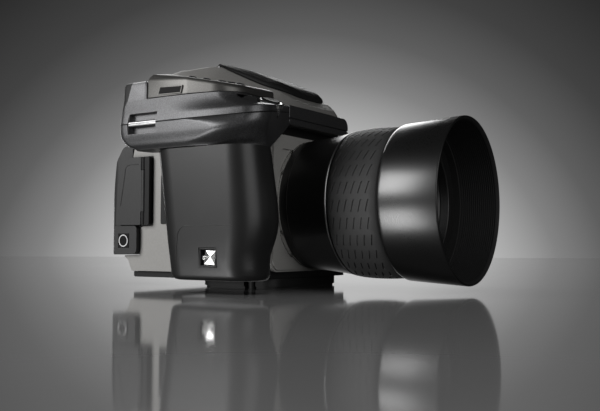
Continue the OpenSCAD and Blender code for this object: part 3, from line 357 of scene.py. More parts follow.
charcoal_paint = finish(
    "charcoal_paint", {"Metallic": 0.8},
    flecked(tone(0.034, 0.034, 0.035), tone(0.135, 0.135, 0.138), 0.40, 0.16, 0.000035))
warm_grey_metal = finish(
    "warm_grey_metal", {"Metallic": 0.8},
    flecked(tone(0.075, 0.073, 0.070), tone(0.135, 0.132, 0.126), 0.42, 0.10, 0.000010))
graphite_plastic = finish(
    "graphite_plastic", {"Specular IOR Level": 0.35},
    flecked(tone(0.018), tone(0.030), 0.46, 0.10, 0.000020))
plate_paint = finish(
    "plate_paint", {"Metallic": 0.1},
    flecked(tone(0.21, 0.206, 0.197), tone(0.29, 0.284, 0.272), 0.48, 0.10, 0.000010))
housing_paint = finish(
    "housing_paint", {"Metallic": 0.1, "Specular IOR Level": 0.25},
    flecked(tone(0.125, 0.123, 0.117), tone(0.185, 0.181, 0.173), 0.55, 0.10, 0.000010))
black_metal = finish(
    "black_metal", {},
    flecked(tone(0.006), tone(0.011), 0.32, 0.08, 0.000006))
lid_lacquer = finish(
    "lid_lacquer", {"Specular IOR Level": 0.07},
    flecked(tone(0.008), tone(0.013), 0.58, 0.08, 0.000008))
matt_black = finish(
    "matt_black", {"Specular IOR Level": 0.2},
    flecked(tone(0.008), tone(0.013), 0.55, 0.10, 0.000015))
dark_edge = finish(
    "dark_edge", {"Specular IOR Level": 0.12},
    flecked(tone(0.004), tone(0.007), 0.6, 0.1, 0.000006))


STREAKS_PER_METRE = (400.0, 9000.0, 400.0)


def brushed(wire):
    """Polished metal with fine streaks."""
    streak = wire.node(
        "ShaderNodeMapping",
        inputs={"Vector": wire.place(), "Scale": STREAKS_PER_METRE},
    )
    line = wire.node("ShaderNodeTexNoise", inputs={"Vector": streak, "Scale": 1.0}, out="Fac")
    return {
        "Base Color": line.mixed(tone(0.62, 0.62, 0.61), tone(0.80, 0.80, 0.79)),
        "Roughness": 0.16 + line * 0.10,
    }


bright_metal = finish("bright_metal", {"Metallic": 1.0}, brushed)
satin_metal = finish(
    "satin_metal", {"Metallic": 1.0}, flecked(tone(0.26), tone(0.36), 0.30, 0.10, 0.000004))
print("metals ready")

# %% [markdown]
# ## Rubber and plastic
# The hand grip is a smooth matt rubber, the lens ring a coarser one, and the hood and keys are moulded
# plastic. A moulded surface has no flecks: its colour drifts slowly, and a fine even grit breaks up
# its shine. So one function takes the colours, the roughness, and the size and depth of the grit.

# %% Rubber and plastic
MOULD_CLOUDS_PER_METRE = 30.0
MOULD_CLOUD_SPREAD = 0.08
GRIT_SPREAD = 0.12


def matt(dark, light, rough, grain, depth):
    """Moulded surface with a fine, even grain."""
    def varied(wire):
        grit = wire.noise(grain, 3.0)
        cloud = wire.noise(MOULD_CLOUDS_PER_METRE)
        return {
            "Base Color": cloud.mixed(dark, light),
            "Roughness": rough + (grit - 0.5) * GRIT_SPREAD + (cloud - 0.5) * MOULD_CLOUD_SPREAD,
            "Normal": wire.bump(grit, depth),
        }
    return varied


grip_rubber = finish(
    "grip_rubber", {"Specular IOR Level": 0.4},
    matt(tone(0.010), tone(0.014), 0.38, 4200.0, 0.000012))
pad_rubber = finish(
    "pad_rubber", {"Specular IOR Level": 0.25},
    matt(tone(0.009), tone(0.012), 0.60, 3000.0, 0.000025))
ring_rubber = finish(
    "ring_rubber", {}, matt(tone(0.028), tone(0.034), 0.62, 3800.0, 0.000025))
hood_plastic = finish(
    "hood_plastic", {"Specular IOR Level": 0.95},
    matt(tone(0.0015), tone(0.0025), 0.30, 2600.0, 0.000006))
hood_lining = finish(
    "hood_lining", {}, matt(tone(0.004), tone(0.006), 0.75, 2600.0, 0.000030))
key_plastic = finish(
    "key_plastic", {"Specular IOR Level": 0.12},
    matt(tone(0.008), tone(0.012), 0.55, 2600.0, 0.000010))
print("rubbers and plastics ready")

# %% [markdown]
# ## Glass
# Lens glass is clear with a bluish coating, display glass is black with a gloss, and the mirror is
# silvered. Real glass is never quite even, so a faint haze of roughness is laid over each. The coating
# could be a thin film in the shader, but a tinted reflection gives its colour more simply.

# %% Glass
def coated(wire):
    haze = wire.noise(60.0)
    return {"Roughness": haze * 0.02}


def panel(wire):
    cloud = wire.noise(40.0)
    return {
        "Base Color": cloud.mixed(tone(0.010, 0.012, 0.014), tone(0.016, 0.018, 0.021)),
        "Roughness": 0.05 + cloud * 0.03,
    }


optical_glass = finish(
    "optical_glass",
    {
        "Base Color": tone(0.96, 0.98, 1.0),
        "Transmission Weight": 1.0,
        "IOR": 1.6,
        "Specular Tint": tone(0.55, 0.75, 0.95),
    },
    coated)
display_glass = finish("display_glass", {"Coat Weight": 0.3, "IOR": 1.5}, panel)
mirror_silver = finish(
    "mirror_silver", {"Metallic": 1.0, "Base Color": tone(0.90, 0.91, 0.92)}, coated)
print("glasses ready")

# %% [markdown]
# ## Dressing the solids
# A solid's mesh comes as loose triangles with hard edges. Real pieces have small radii that catch
# the light, so most nodes are dressed: the mesh is copied, its doubles merged, flat faces joined,
# and a small bevel put on the sharp edges. The solid stays in the model for collision.

# %% Dress
SKIN_SMOOTH = 34
SKIN_JOIN = 0.3
DOUBLES = 0.002
EDGE_ANGLE = 32


def soften(shape, angle):
    """Smooth shading, with the edges past this angle left sharp."""
    for face in shape.faces:
        face.smooth = True
    for edge in shape.edges:
        edge.smooth = edge.calc_face_angle(0.0) < radians(angle)


def add_piece(name, shape, body, material):
    """An object made of a shape, which rides a body and has a named finish."""
    mesh = bpy.data.meshes.new(name)
    shape.to_mesh(mesh)
    shape.free()
    piece = bpy.data.objects.new(name, mesh)
    bpy.context.scene.collection.objects.link(piece)
    mesh.materials.append(material)
    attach(piece, body)
    return piece


def round_edges(piece, width, angle=EDGE_ANGLE):
    """A small radius, in millimetres, on edges sharper than an angle."""
    bevel = piece.modifiers.new("edge_radius", "BEVEL")
    bevel.width = width * MM
    bevel.segments = 2
    bevel.limit_method = "ANGLE"
    bevel.angle_limit = radians(angle)
    bevel.harden_normals = True


def node_shape(node, join=SKIN_JOIN):
    """A node's mesh with its doubles merged and its flat faces joined."""
    shape = bmesh.new()
    shape.from_mesh(frame["nodes"][node].data)
    bmesh.ops.remove_doubles(shape, verts=shape.verts, dist=DOUBLES * MM)
    bmesh.ops.dissolve_limit(
        shape, angle_limit=radians(join), verts=shape.verts, edges=shape.edges)
    return shape


def body_of(node):
    """The body that a node rides on."""
    return frame["nodes"][node]["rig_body"]


def dress(node, material, radius):
    """A softened copy of a node, with a radius in millimetres, that stands in for it."""
    shape = node_shape(node)
    soften(shape, SKIN_SMOOTH)
    piece = add_piece(node + "_skin", shape, body_of(node), material)
    if radius:
        round_edges(piece, radius)
    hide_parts(node)


print("dressing helpers ready")

# %% [markdown]
# ## Which finish goes where
# Each row has a finish, and the nodes that wear it with their edge radii in millimetres. One call per
# node would say the same at length.

# %% Finishes by node
DRESSED = {
    "charcoal_paint": (charcoal_paint, {
        "left_cover": 0.8, "grip_lower_shell": 0.35, "grip_upper_shell": 0.35,
        "finder_fascia": 0.4,
    }),
    "lid_lacquer": (lid_lacquer, {"flash_lid": 0.4}),
    "matt_black": (matt_black, {
        "base_plate": 0.5, "grip_rail": 0.2, "back_foot": 0.3, "card_hinge": 0.2,
    }),
    "pad_rubber": (pad_rubber, {"thumb_rest": 0.5, "eyecup": 0.9}),
    "satin_metal": (satin_metal, {"strap_bars": 0.4}),
    "graphite_plastic": (graphite_plastic, {"back_cover": 0.5, "card_door": 0.35}),
    "plate_paint": (plate_paint, {"front_plate": 0.5, "back_housing": 0.5}),
    "housing_paint": (housing_paint, {"finder_housing": 0.4}),
    "warm_grey_metal": (warm_grey_metal, {"grip_top_cover": 0.35}),
    "grip_rubber": (grip_rubber, {"battery_grip": 0.5}),
    "black_metal": (black_metal, {
        "body_casting": 0.4, "battery_lever_frame": 0.15, "eyepiece_tube": 0.4,
        "leaf_shutter": 0.0, "light_baffle": 0.0, "sensor_carrier": 0.0, "flash_hinge_pin": 0.1,
        "card_hinge_pin": 0.1,
    }),
    "key_plastic": (key_plastic, {
        "front_wheel": 0.15, "rear_wheel": 0.15, "dioptre_knob": 0.2, "navigation_pad": 0.5,
        "left_key": 0.4, "right_key": 0.4, "top_button_1": 0.3, "top_button_2": 0.3,
        "top_button_3": 0.3, "top_button_4": 0.3, "top_button_5": 0.3, "shutter_button": 0.3,
    }),
    "bright_metal": (bright_metal, {
        "lens_mount": 0.2, "shutter_collar": 0.2, "wheel_axles": 0.1, "accessory_shoe": 0.25,
        "back_release": 0.3, "lens_release": 0.3,
    }),
    "optical_glass": (optical_glass, {
        "focusing_screen": 0.0, "prism": 0.0, "eyepiece_glass": 0.0, "flash_window": 0.2,
        "lens_glass": 0.0, "sensor_glass": 0.0,
    }),
    "mirror_silver": (mirror_silver, {"reflex_mirror": 0.1}),
}
for slot, (material, radii) in DRESSED.items():
    for node, radius in radii.items():
        dress(node, material, radius)
    print(slot, "on nodes:", len(radii))

# %% [markdown]
# ## The displays
# Each display is a dark glass with a panel under it that reads a little lighter. A picture of a
# screen could be laid on it, but a display that is switched off has only a border. So the faces that
# look nearly the same way as the widest one become one face, an inset leaves the border, and the face
# inside it gets the panel's own finish.

# %% Displays
def off_panel(wire):
    cloud = wire.noise(35.0)
    return {
        "Base Color": cloud.mixed(tone(0.030, 0.034, 0.036), tone(0.040, 0.044, 0.046)),
        "Roughness": 0.10 + cloud * 0.05,
    }


PANEL_BORDER = 2.4
PANEL_SINK = 0.08
PANEL_JOIN = 1.0
PANEL_BEND = 8
panel_off = finish("panel_off", {"Coat Weight": 0.3}, off_panel)


def dress_display(node):
    """A display's glass with its switched-off panel inset in the widest face."""
    shape = node_shape(node, PANEL_JOIN)
    widest = max(shape.faces, key=lambda face: face.calc_area())
    glass = [face for face in shape.faces
             if face.normal.angle(widest.normal) < radians(PANEL_BEND)]
    whole = bmesh.ops.dissolve_faces(shape, faces=glass)["region"]
    bmesh.ops.inset_region(
        shape, faces=whole, thickness=PANEL_BORDER * MM, depth=-PANEL_SINK * MM)
    for face in whole:
        face.material_index = 1
    soften(shape, SKIN_SMOOTH)
    piece = add_piece(node + "_skin", shape, body_of(node), display_glass)
    piece.data.materials.append(panel_off)
    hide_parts(node)
    print(node, "faces:", len(piece.data.polygons))


dress_display("grip_display")
dress_display("rear_display")

# %% [markdown]
# ## The lens
# Lens rings are turned on a lathe, so a spin is the right tool: half of the section is drawn as a
# few points, and spun about the lens axis. The points are a radius and a distance ahead of the
# flange, the way a lens drawing gives them.

# %% Turned rings
LENS_Z = 48.0
FLANGE_Y = -40.0
TURN_STEPS = 168
RING_SMOOTH = 28
SPIN_DOUBLES = 0.001


def spun(section, place, along, steps, closed=True):
    """A shape turned about a line: points are a radius and a distance along the line."""
    along = Vector(along)
    out = along.orthogonal().normalized()
    shape = bmesh.new()
    rim = [shape.verts.new((Vector(place) + out * r + along * s) * MM) for r, s in section]
    ends = rim[1:] + rim[:1] if closed else rim[1:]
    lines = [shape.edges.new(pair) for pair in zip(rim, ends)]
    bmesh.ops.spin(
        shape, geom=rim + lines, cent=Vector(place) * MM, axis=along, angle=2 * pi, steps=steps,
        use_merge=True)
    bmesh.ops.remove_doubles(shape, verts=shape.verts, dist=SPIN_DOUBLES * MM)
    bmesh.ops.recalc_face_normals(shape, faces=shape.faces)
    return shape


def turned(section):
    """A ring of the lens: points are a radius and a distance ahead of the flange."""
    return spun(section, (0.0, FLANGE_Y, LENS_Z), (0.0, -1.0, 0.0), TURN_STEPS)


def add_ring(name, section, body, material, node, radius=0.2):
    """A turned ring that stands in for a node of the lens."""
    shape = turned(section)
    soften(shape, RING_SMOOTH)
    ring = add_piece(name, shape, body, material)
    round_edges(ring, radius, angle=RING_SMOOTH)
    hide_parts(node)
    print(name, "faces:", len(ring.data.polygons))
    return ring


def repeated(first, second, pitch, count):
    """Two points over and over, each pair moved on by a pitch."""
    return [(r + i * pitch[0], s + i * pitch[1]) for i in range(count) for r, s in (first, second)]


print("steps round a ring:", TURN_STEPS)

# %% [markdown]
# ## Barrel and front ring
# The barrel widens towards the focus ring in a soft flare, and the front ring has the thread for a
# filter. The flare could be a spline, but a short formula gives the same curve with even points. The
# thread is drawn as a row of rings and not as a helix, because nobody can see the difference here.

# %% Barrel and front ring
TUBE_R = 38.5
BORE_R = 31.0
SPIGOT_R = 32.2
BASE_R = 37.3
FLARE_R = 38.0
FLARE_RISE = 2.6
FLARE_START = 5.5
FLARE_END = 31.0
FLARE_POINTS = 12


def flare_point(share):
    """A point of the flare, flat at first and then steeper."""
    rise = FLARE_RISE * share * share * (1.5 - 0.5 * share)
    return (FLARE_R + rise, FLARE_START + (FLARE_END - FLARE_START) * share)


flare = [flare_point(i / FLARE_POINTS) for i in range(FLARE_POINTS + 1)]
add_ring(
    "lens_barrel_skin",
    [(BORE_R, -5.0), (SPIGOT_R, -5.0), (SPIGOT_R, 0.15), (BASE_R, 0.15), (BASE_R, 5.0)]
    + flare + [(TUBE_R, FLARE_END), (TUBE_R, 62.2), (BORE_R, 62.2)],
    "lens", black_metal, "lens_barrel")
add_ring(
    "trim_ring_skin",
    [(TUBE_R, FLARE_END), (40.6, FLARE_END), (40.7, 31.3), (40.9, 31.5), (40.9, 31.8),
     (40.7, 32.0), (TUBE_R, 32.2)],
    "lens", satin_metal, "trim_ring", 0.05)
FILTER_R = 33.5
FILTER_ROOT = (FILTER_R, 70.2)
FILTER_CREST = (33.1, 69.9)
FILTER_PITCH = (0.0, -0.6)
FILTER_TURNS = 8
add_ring(
    "front_ring_skin",
    [(BORE_R, 62.4), (41.0, 62.4), (41.0, 69.8), (40.4, 70.4), (33.8, 70.4)]
    + repeated(FILTER_ROOT, FILTER_CREST, FILTER_PITCH, FILTER_TURNS)
    + [(FILTER_R, 65.2), (32.6, 65.2), (BORE_R, 64.0)],
    "lens", black_metal, "front_ring", 0.1)

# %% [markdown]
# ## The hood
# The hood is a slightly wider cone with a smooth outside and a ribbed, dull inside that swallows stray
# light. Two pieces could be made for that. One turned piece is enough, if the faces that look
# at the lens axis get the lining's finish: a face whose normal points inwards is on the inside.

# %% Hood
RIDGE_CREST = (42.95, 95.4)
RIDGE_ROOT = (42.75, 94.9)
RIDGE_PITCH = (-0.05, -1.15)
RIDGES = 18
hood = add_ring(
    "lens_hood_skin",
    [(41.3, 62.7), (41.9, 62.7), (42.4, 63.1), (42.75, 63.9), (42.9, 65.2), (44.9, 96.0),
     (44.75, 96.5), (44.4, 96.7), (43.7, 96.7), (43.3, 96.2)]
    + repeated(RIDGE_CREST, RIDGE_ROOT, RIDGE_PITCH, RIDGES)
    + [(41.9, 74.1), (41.3, 74.0)],
    "lens_hood", hood_plastic, "lens_hood", 0.12)
hood.data.materials.append(hood_lining)
for face in hood.data.polygons:
    out = Vector((face.center.x, 0.0, face.center.z - LENS_Z * MM)).dot(face.normal)
    face.material_index = 1 if out < 0 else 0

# %% [markdown]
# ## The focus ring
# Its rubber sleeve has rows of short, slightly slanted grooves for the fingers. They could be
# painted in the shader, but they show on the outline and in the hand. So the sleeve is spun with
# narrow columns, the column faces of each groove are picked, and an inset pushes them in.

# %% Focus ring with slanted grooves
GROOVE_ROWS = 28
GROOVE_COLUMNS = 6
GROOVE_WIDTH = 0.9
GROOVE_DEPTH = 0.45
GROOVE_PITCH = 4.14
GROOVE_FIRST = 36.4
GROOVE_SLANT = tan(radians(15))
GROOVE_RIM = 0.16
GROOVE_LEANS = [-2, -1, 0, 1, 2, 0]
GROOVE_STEPS = 4
STEPS_PER_ROW = TURN_STEPS // GROOVE_ROWS
RING_START = 32.5
RING_END = 62.1
RING_EDGE = 1.0
SLEEVE_BORE_R = 38.8
SLEEVE_EDGE_R = 40.2
SLEEVE_OUTSIDE_R = 40.4
SLEEVE_SMOOTH = 40
CROWN_R = 42.0
CROWN_DROP = 0.8


def crown(s):
    """Radius of the sleeve at a distance ahead of the flange."""
    q = (s - RING_START - RING_EDGE) / (RING_END - RING_START - 2 * RING_EDGE)
    return CROWN_R - CROWN_DROP * (2 * q - 1) ** 2


column_sides = [GROOVE_FIRST + GROOVE_PITCH * c + side * GROOVE_WIDTH / 2
                for c in range(GROOVE_COLUMNS) for side in (-1, 1)]
stations = sorted([RING_START + RING_EDGE, RING_END - RING_EDGE] + column_sides)
section = [(SLEEVE_BORE_R, RING_START), (SLEEVE_EDGE_R, RING_START)]
section += [(crown(s), s) for s in stations]
section += [(SLEEVE_EDGE_R, RING_END), (SLEEVE_BORE_R, RING_END)]
sleeve = turned(section)
print("sleeve faces:", len(sleeve.faces))

# %% [markdown]
# ## Picking and slanting the grooves
# A groove is four faces long, and two faces are left whole between one row and the next. Counting in
# steps is safer than measuring angles, because each corner has a whole number. The corners of a
# groove are slid along the axis before the inset, a little more with every step, and that gives the
# slant.

# %% Grooves
def turn_of(point):
    """Step number of a point round the ring, growing downwards on the grip side."""
    side = Vector((point.x, point.z - LENS_Z * MM))
    return round(side.angle_signed(Vector((1.0, 0.0))) / (2 * pi) * TURN_STEPS) % TURN_STEPS


def column_of(s):
    """Number of the groove column that this distance is in, or None."""
    near = round((s - GROOVE_FIRST) / GROOVE_PITCH)
    inside = 0 <= near < GROOVE_COLUMNS
    return near if inside and abs(s - GROOVE_FIRST - near * GROOVE_PITCH) < GROOVE_WIDTH else None


grooves = []
for face in sleeve.faces:
    middle = face.calc_center_median()
    outside = Vector((middle.x, middle.z - LENS_Z * MM)).length > SLEEVE_OUTSIDE_R * MM
    in_row = max(turn_of(v.co) % STEPS_PER_ROW for v in face.verts) <= GROOVE_STEPS
    if outside and in_row and column_of(FLANGE_Y - middle.y / MM) is not None:
        grooves.append(face)
step_arc = 2 * pi * CROWN_R / TURN_STEPS
for vert in sleeve.verts:
    s = FLANGE_Y - vert.co.y / MM
    if column_of(s) is not None and RING_START + 1.5 * RING_EDGE < s < RING_END - 1.5 * RING_EDGE:
        lean = GROOVE_LEANS[turn_of(vert.co) % STEPS_PER_ROW]
        vert.co.y += lean * step_arc * GROOVE_SLANT * MM
bmesh.ops.inset_region(
    sleeve, faces=grooves, thickness=GROOVE_RIM * MM, depth=-GROOVE_DEPTH * MM,
    use_even_offset=True)
soften(sleeve, SLEEVE_SMOOTH)
focus_skin = add_piece("focus_ring_skin", sleeve, "focus_ring", ring_rubber)
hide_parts("focus_ring")
print("groove faces:", len(grooves))

# %% [markdown]
# ## Small plates on the cover and the back
# The cover and the digital back carry small bare plates, and the one on the back has a ring. A plate
# could be a scaled cube, but its corners are not square. So it is drawn as a flat face, which is then
# extruded outwards and bevelled. The ring is two circles with a bridge between them.

# %% Bare plates
PLATE_SMOOTH = 30


def side_plate(name, corners, x, rise, body, material, radius):
    """A plate on a side that faces -X: corners are Y and Z in millimetres."""
    shape = bmesh.new()
    face = shape.faces.new([shape.verts.new((x * MM, y * MM, z * MM)) for y, z in corners])
    lifted = bmesh.ops.extrude_face_region(shape, geom=[face])
    moved = [v for v in lifted["geom"] if isinstance(v, bmesh.types.BMVert)]
    bmesh.ops.translate(shape, verts=moved, vec=(-rise * MM, 0.0, 0.0))
    bmesh.ops.recalc_face_normals(shape, faces=shape.faces)
    soften(shape, PLATE_SMOOTH)
    plate = add_piece(name, shape, body, material)
    round_edges(plate, radius)
    print(name, "faces:", len(plate.data.polygons))


COVER_SIDE_X = -92.6
BACK_PAD_X = -45.3
side_plate("cover_badge_frame", [(-1.2, 102.5), (-2.6, 106.9), (-18.4, 106.2), (-17.2, 102.1)],
           COVER_SIDE_X, 0.75, "camera", warm_grey_metal, 0.2)
side_plate("cover_badge", [(-2.0, 103.0), (-3.1, 106.4), (-17.7, 105.7), (-16.7, 102.6)],
           COVER_SIDE_X, 0.85, "camera", dark_edge, 0.1)
side_plate("back_badge", [(65.2, 22.4), (74.4, 22.4), (74.4, 31.2), (65.2, 31.2)],
           BACK_PAD_X + 0.3, 0.55, "camera", dark_edge, 0.2)

RING_MARK_PLACE = Vector((BACK_PAD_X - 0.3, 69.8, 26.8))
RING_MARK_RADII = (3.7, 3.15)
RING_MARK_RISE = 0.12
white_enamel = finish("white_enamel", {}, matt(tone(0.62), tone(0.68), 0.35, 3000.0, 0.000004))
ring_mark = bmesh.new()
for radius in RING_MARK_RADII:
    bmesh.ops.create_circle(ring_mark, segments=48, radius=radius * MM)
bmesh.ops.bridge_loops(ring_mark, edges=list(ring_mark.edges))
bmesh.ops.solidify(ring_mark, geom=list(ring_mark.faces), thickness=RING_MARK_RISE * MM)
bmesh.ops.rotate(ring_mark, verts=ring_mark.verts, matrix=Matrix.Rotation(-pi / 2, 3, "Y"))
bmesh.ops.translate(ring_mark, verts=ring_mark.verts, vec=RING_MARK_PLACE * MM)
bmesh.ops.recalc_face_normals(ring_mark, faces=ring_mark.faces)
add_piece("badge_ring", ring_mark, "camera", white_enamel)

# %% [markdown]
# ## Strap recesses
# A strap hangs on a bar across a recess on either side. The recess in the solids is a deep plain box,
# while the real one looks shallow and has sloping walls. A lining does that without touching the
# solids: four rims of four corners each, from the back to the floor, with faces between them.

# %% Pans of the strap recesses
RECESS_Y = 6.5
RECESS_Z = 88.0
PAN_RADIUS = 0.15
PAN_SMOOTH = 20


def recess_pan(name, rims):
    """A shallow lining: each rim is X below, X above, and half sizes in Y and Z."""
    shape = bmesh.new()
    loops = []
    for below, above, half_y, half_z in rims:
        corners = [(below, -half_y, -half_z), (below, half_y, -half_z),
                   (above, half_y, half_z), (above, -half_y, half_z)]
        loops.append([shape.verts.new((x * MM, (RECESS_Y + y) * MM, (RECESS_Z + z) * MM))
                      for x, y, z in corners])
    for first, second in zip(loops, loops[1:]):
        for i in range(4):
            shape.faces.new([first[i], first[i - 1], second[i - 1], second[i]])
    shape.faces.new(loops[0])
    shape.faces.new(loops[-1])
    bmesh.ops.recalc_face_normals(shape, faces=shape.faces)
    soften(shape, PAN_SMOOTH)
    pan = add_piece(name, shape, "camera", charcoal_paint)
    round_edges(pan, PAN_RADIUS, angle=PAN_SMOOTH)
    print(name, "faces:", len(pan.data.polygons))


recess_pan("strap_pan_right", [
    (-90.2, -90.2, 10.1, 5.85), (-97.0, -95.6, 10.1, 5.85), (-97.0, -95.6, 9.7, 5.45),
    (-93.4, -93.0, 9.2, 4.9),
])
recess_pan("strap_pan_left", [
    (44.9, 44.9, 10.1, 5.85), (51.8, 51.8, 10.1, 5.85), (51.8, 51.8, 9.7, 5.45),
    (48.1, 48.1, 9.2, 4.9),
])

# %% [markdown]
# ## The line on the hand grip
# A faint raised line is moulded in the rubber: level, round a bend, and then down. It could be a crease
# in the mesh, but then the solid's own faces would have to follow it. A bead is easier: a line of
# points is drawn on the side, each point is dropped onto the rubber with a ray, and a curve with a
# round section runs along them.

# %% Bead on the hand grip
RAY_START_X = -200.0


def tube_along(rows, name, body, material, radius):
    """A round bead along rows of points, its radius in millimetres."""
    curve = bpy.data.curves.new(name, "CURVE")
    curve.dimensions = "3D"
    curve.bevel_depth = radius * MM
    curve.bevel_resolution = 2
    curve.use_fill_caps = True
    for row in rows:
        line = curve.splines.new("POLY")
        line.points.add(len(row) - 1)
        for point, place in zip(line.points, row):
            point.co = (*place, 1.0)
    holder = bpy.data.objects.new(name + "_line", curve)
    mesh = bpy.data.meshes.new_from_object(holder)
    mesh.name = name
    bpy.data.objects.remove(holder)
    bead = bpy.data.objects.new(name, mesh)
    bpy.context.scene.collection.objects.link(bead)
    mesh.materials.clear()
    mesh.materials.append(material)
    for face in mesh.polygons:
        face.use_smooth = True
    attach(bead, body)
    print(name, "rows:", len(rows), "points:", sum(len(row) for row in rows))


def bead_on(node, name, points, body, material, radius):
    """A round bead laid along points (Y, Z) on the grip side of a solid."""
    side = node_shape(node)
    tree = BVHTree.FromBMesh(side)
    starts = [Vector((RAY_START_X, y, z)) * MM for y, z in points]
    hits = [tree.ray_cast(start, Vector((1.0, 0.0, 0.0)))[0] for start in starts]
    side.free()
    tube_along([[hit for hit in hits if hit]], name, body, material, radius)


def straight(start, step, count):
    """Points (Y, Z) in a straight line."""
    return [(start[0] + i * step[0], start[1] + i * step[1]) for i in range(count)]


def bend(middle, radius, degrees, count):
    """Points (Y, Z) round a bend, from its top towards the rear."""
    turns = [radians(i * degrees) for i in range(count)]
    return [(middle[0] + radius * sin(a), middle[1] + radius * cos(a)) for a in turns]


contour = straight((-50.0, 34.2), (1.45, 0.0), 20)
contour += bend((-21.0, 28.2), 6.0, 6, 14)[1:]
contour += straight((-14.9, 27.0), (0.35, -2.0), 6)
bead_on("battery_grip", "grip_bead", contour, "battery", grip_rubber, 0.22)

# %% [markdown]
# ## Seams
# Where two shells meet there is a narrow dark line. It is real: the solids leave a shallow groove
# there. At this size a render loses it, so a dark bead is laid along it. A plane cuts a copy of the
# shell, and the cut edges are walked from end to end to make the line.

# %% Seam lines
SEAM_RADIUS = 0.3
SEAM_LEAST = 90.0


def walked(edges):
    """Rows of points from loose edges, each row walked from one end to the other."""
    left = set(edges)
    rows = []
    while left:
        ends = [v for e in left for v in e.verts if sum(f in left for f in v.link_edges) == 1]
        vert = ends[0] if ends else next(iter(left)).verts[0]
        row = [vert.co.copy()]
        while True:
            edge = next((e for e in vert.link_edges if e in left), None)
            if edge is None:
                break
            left.discard(edge)
            vert = edge.other_vert(vert)
            row.append(vert.co.copy())
        rows.append(row)
    return rows


def seam_line(node, name, point, normal):
    """A dark bead where a plane cuts a solid, without rows shorter than the least length."""
    shape = node_shape(node)
    geometry = list(shape.verts) + list(shape.edges) + list(shape.faces)
    cut = bmesh.ops.bisect_plane(
        shape, geom=geometry, plane_co=Vector(point) * MM, plane_no=Vector(normal))
    edges = [e for e in cut["geom_cut"] if isinstance(e, bmesh.types.BMEdge)]
    rows = walked(edges)
    shape.free()
    rows = [row for row in rows
            if sum((b - a).length for a, b in zip(row, row[1:])) > SEAM_LEAST * MM]
    tube_along(rows, name, body_of(node), dark_edge, SEAM_RADIUS)


seam_line("grip_lower_shell", "parting_seam", (-97.0, 0.0, 87.95), (-0.157, 0.0, 1.0))
seam_line("grip_top_cover", "cover_seam", (-97.0, 0.0, 101.4), (-0.01884, 0.0, 1.0))

# %% [markdown]
# ## The digital back's side
# A rubber flap covers the cable sockets, just ahead of the card door. A curved line is moulded in
# the door for the finger nail. Both could be drawn in the shader, but a real edge catches the light.

# %% Socket flap and door line
side_plate("socket_flap", [(26.4, 36.8), (42.0, 36.8), (42.0, 66.0), (26.4, 66.0)],
           -41.8, 1.3, "camera", pad_rubber, 0.6)
nail_line = straight((58.2, 73.2), (0.9, 0.0), 9)
nail_line += bend((65.6, 69.6), 3.6, 10, 9)
nail_line += straight((69.3, 68.0), (0.4, -2.2), 10)
bead_on("card_door", "door_line", nail_line, "card_door", graphite_plastic, 0.26)

# %% [markdown]
# ## The battery lever
# A small polished lever releases the battery grip. Its nib stands out to the rear, and its face is
# cut in flat facets that each mirror something else. An outline is extruded, its face is inset, and
# a poke raises the middle into facets.

# %% Faceted lever
LEVER_Y = -34.5
LEVER_Z = 18.2
LEVER_BACK_X = -89.5
LEVER_RISE = 1.2
LEVER_RIM = 0.35
LEVER_STEP = 0.2
LEVER_PEAK = Vector((-0.45, -0.8, 0.6))
LEVER_RADIUS = 0.08
LEVER_OUTLINE = [
    (2.4, 3.7), (-4.2, 3.4), (-3.7, -3.7), (3.3, -3.5), (3.2, -1.2), (4.4, -0.8), (4.2, 0.5),
    (2.7, 0.9),
]
lever = bmesh.new()
face = lever.faces.new([
    lever.verts.new((LEVER_BACK_X * MM, (LEVER_Y + y) * MM, (LEVER_Z + z) * MM))
    for y, z in LEVER_OUTLINE])
lifted = bmesh.ops.extrude_face_region(lever, geom=[face])
bmesh.ops.translate(
    lever, vec=(-LEVER_RISE * MM, 0.0, 0.0),
    verts=[v for v in lifted["geom"] if isinstance(v, bmesh.types.BMVert)])
top = [f for f in lifted["geom"] if isinstance(f, bmesh.types.BMFace)]
bmesh.ops.inset_region(lever, faces=top, thickness=LEVER_RIM * MM, depth=LEVER_STEP * MM)
poked = bmesh.ops.poke(lever, faces=top)
bmesh.ops.translate(lever, verts=poked["verts"], vec=LEVER_PEAK * MM)
bmesh.ops.recalc_face_normals(lever, faces=lever.faces)
lever_skin = add_piece(
    "battery_lever_skin", lever, body_of("battery_lever"), bright_metal)
round_edges(lever_skin, LEVER_RADIUS, angle=8)
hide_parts("battery_lever")
print("lever facets:", len(lever_skin.data.polygons))

# %% [markdown]
# ## Screws
# Small fasteners tell the eye how big a thing is. A screw could be a cylinder with a hexagon cut out
# of it, but a cut leaves long thin faces. So each screw is turned like a lens ring, and the wall of
# its socket is then drawn in to a hexagon.

# %% Screws
SCREW_STEPS = 24
LEFT_COVER_X = 52.0
GROUP_SMOOTH = 35


def screw(place, along, radius):
    """A screw head with a hexagon socket, on a face that looks along a line."""
    head = spun(
        [(0.0, -0.25), (0.42 * radius, -0.25), (0.5 * radius, 0.22), (0.85 * radius, 0.25),
         (radius, 0.05), (radius, -0.3)], place, along, SCREW_STEPS, closed=False)
    axis = Vector(along)
    start = axis.orthogonal().normalized()
    for vert in head.verts:
        arm = vert.co - Vector(place) * MM
        arm -= axis * arm.dot(axis)
        if 0.0 < arm.length < 0.6 * radius * MM:
            turn = arm.angle(start) % (pi / 3) - pi / 6
            vert.co += arm * (cos(pi / 6) / cos(turn) - 1.0)
    return head


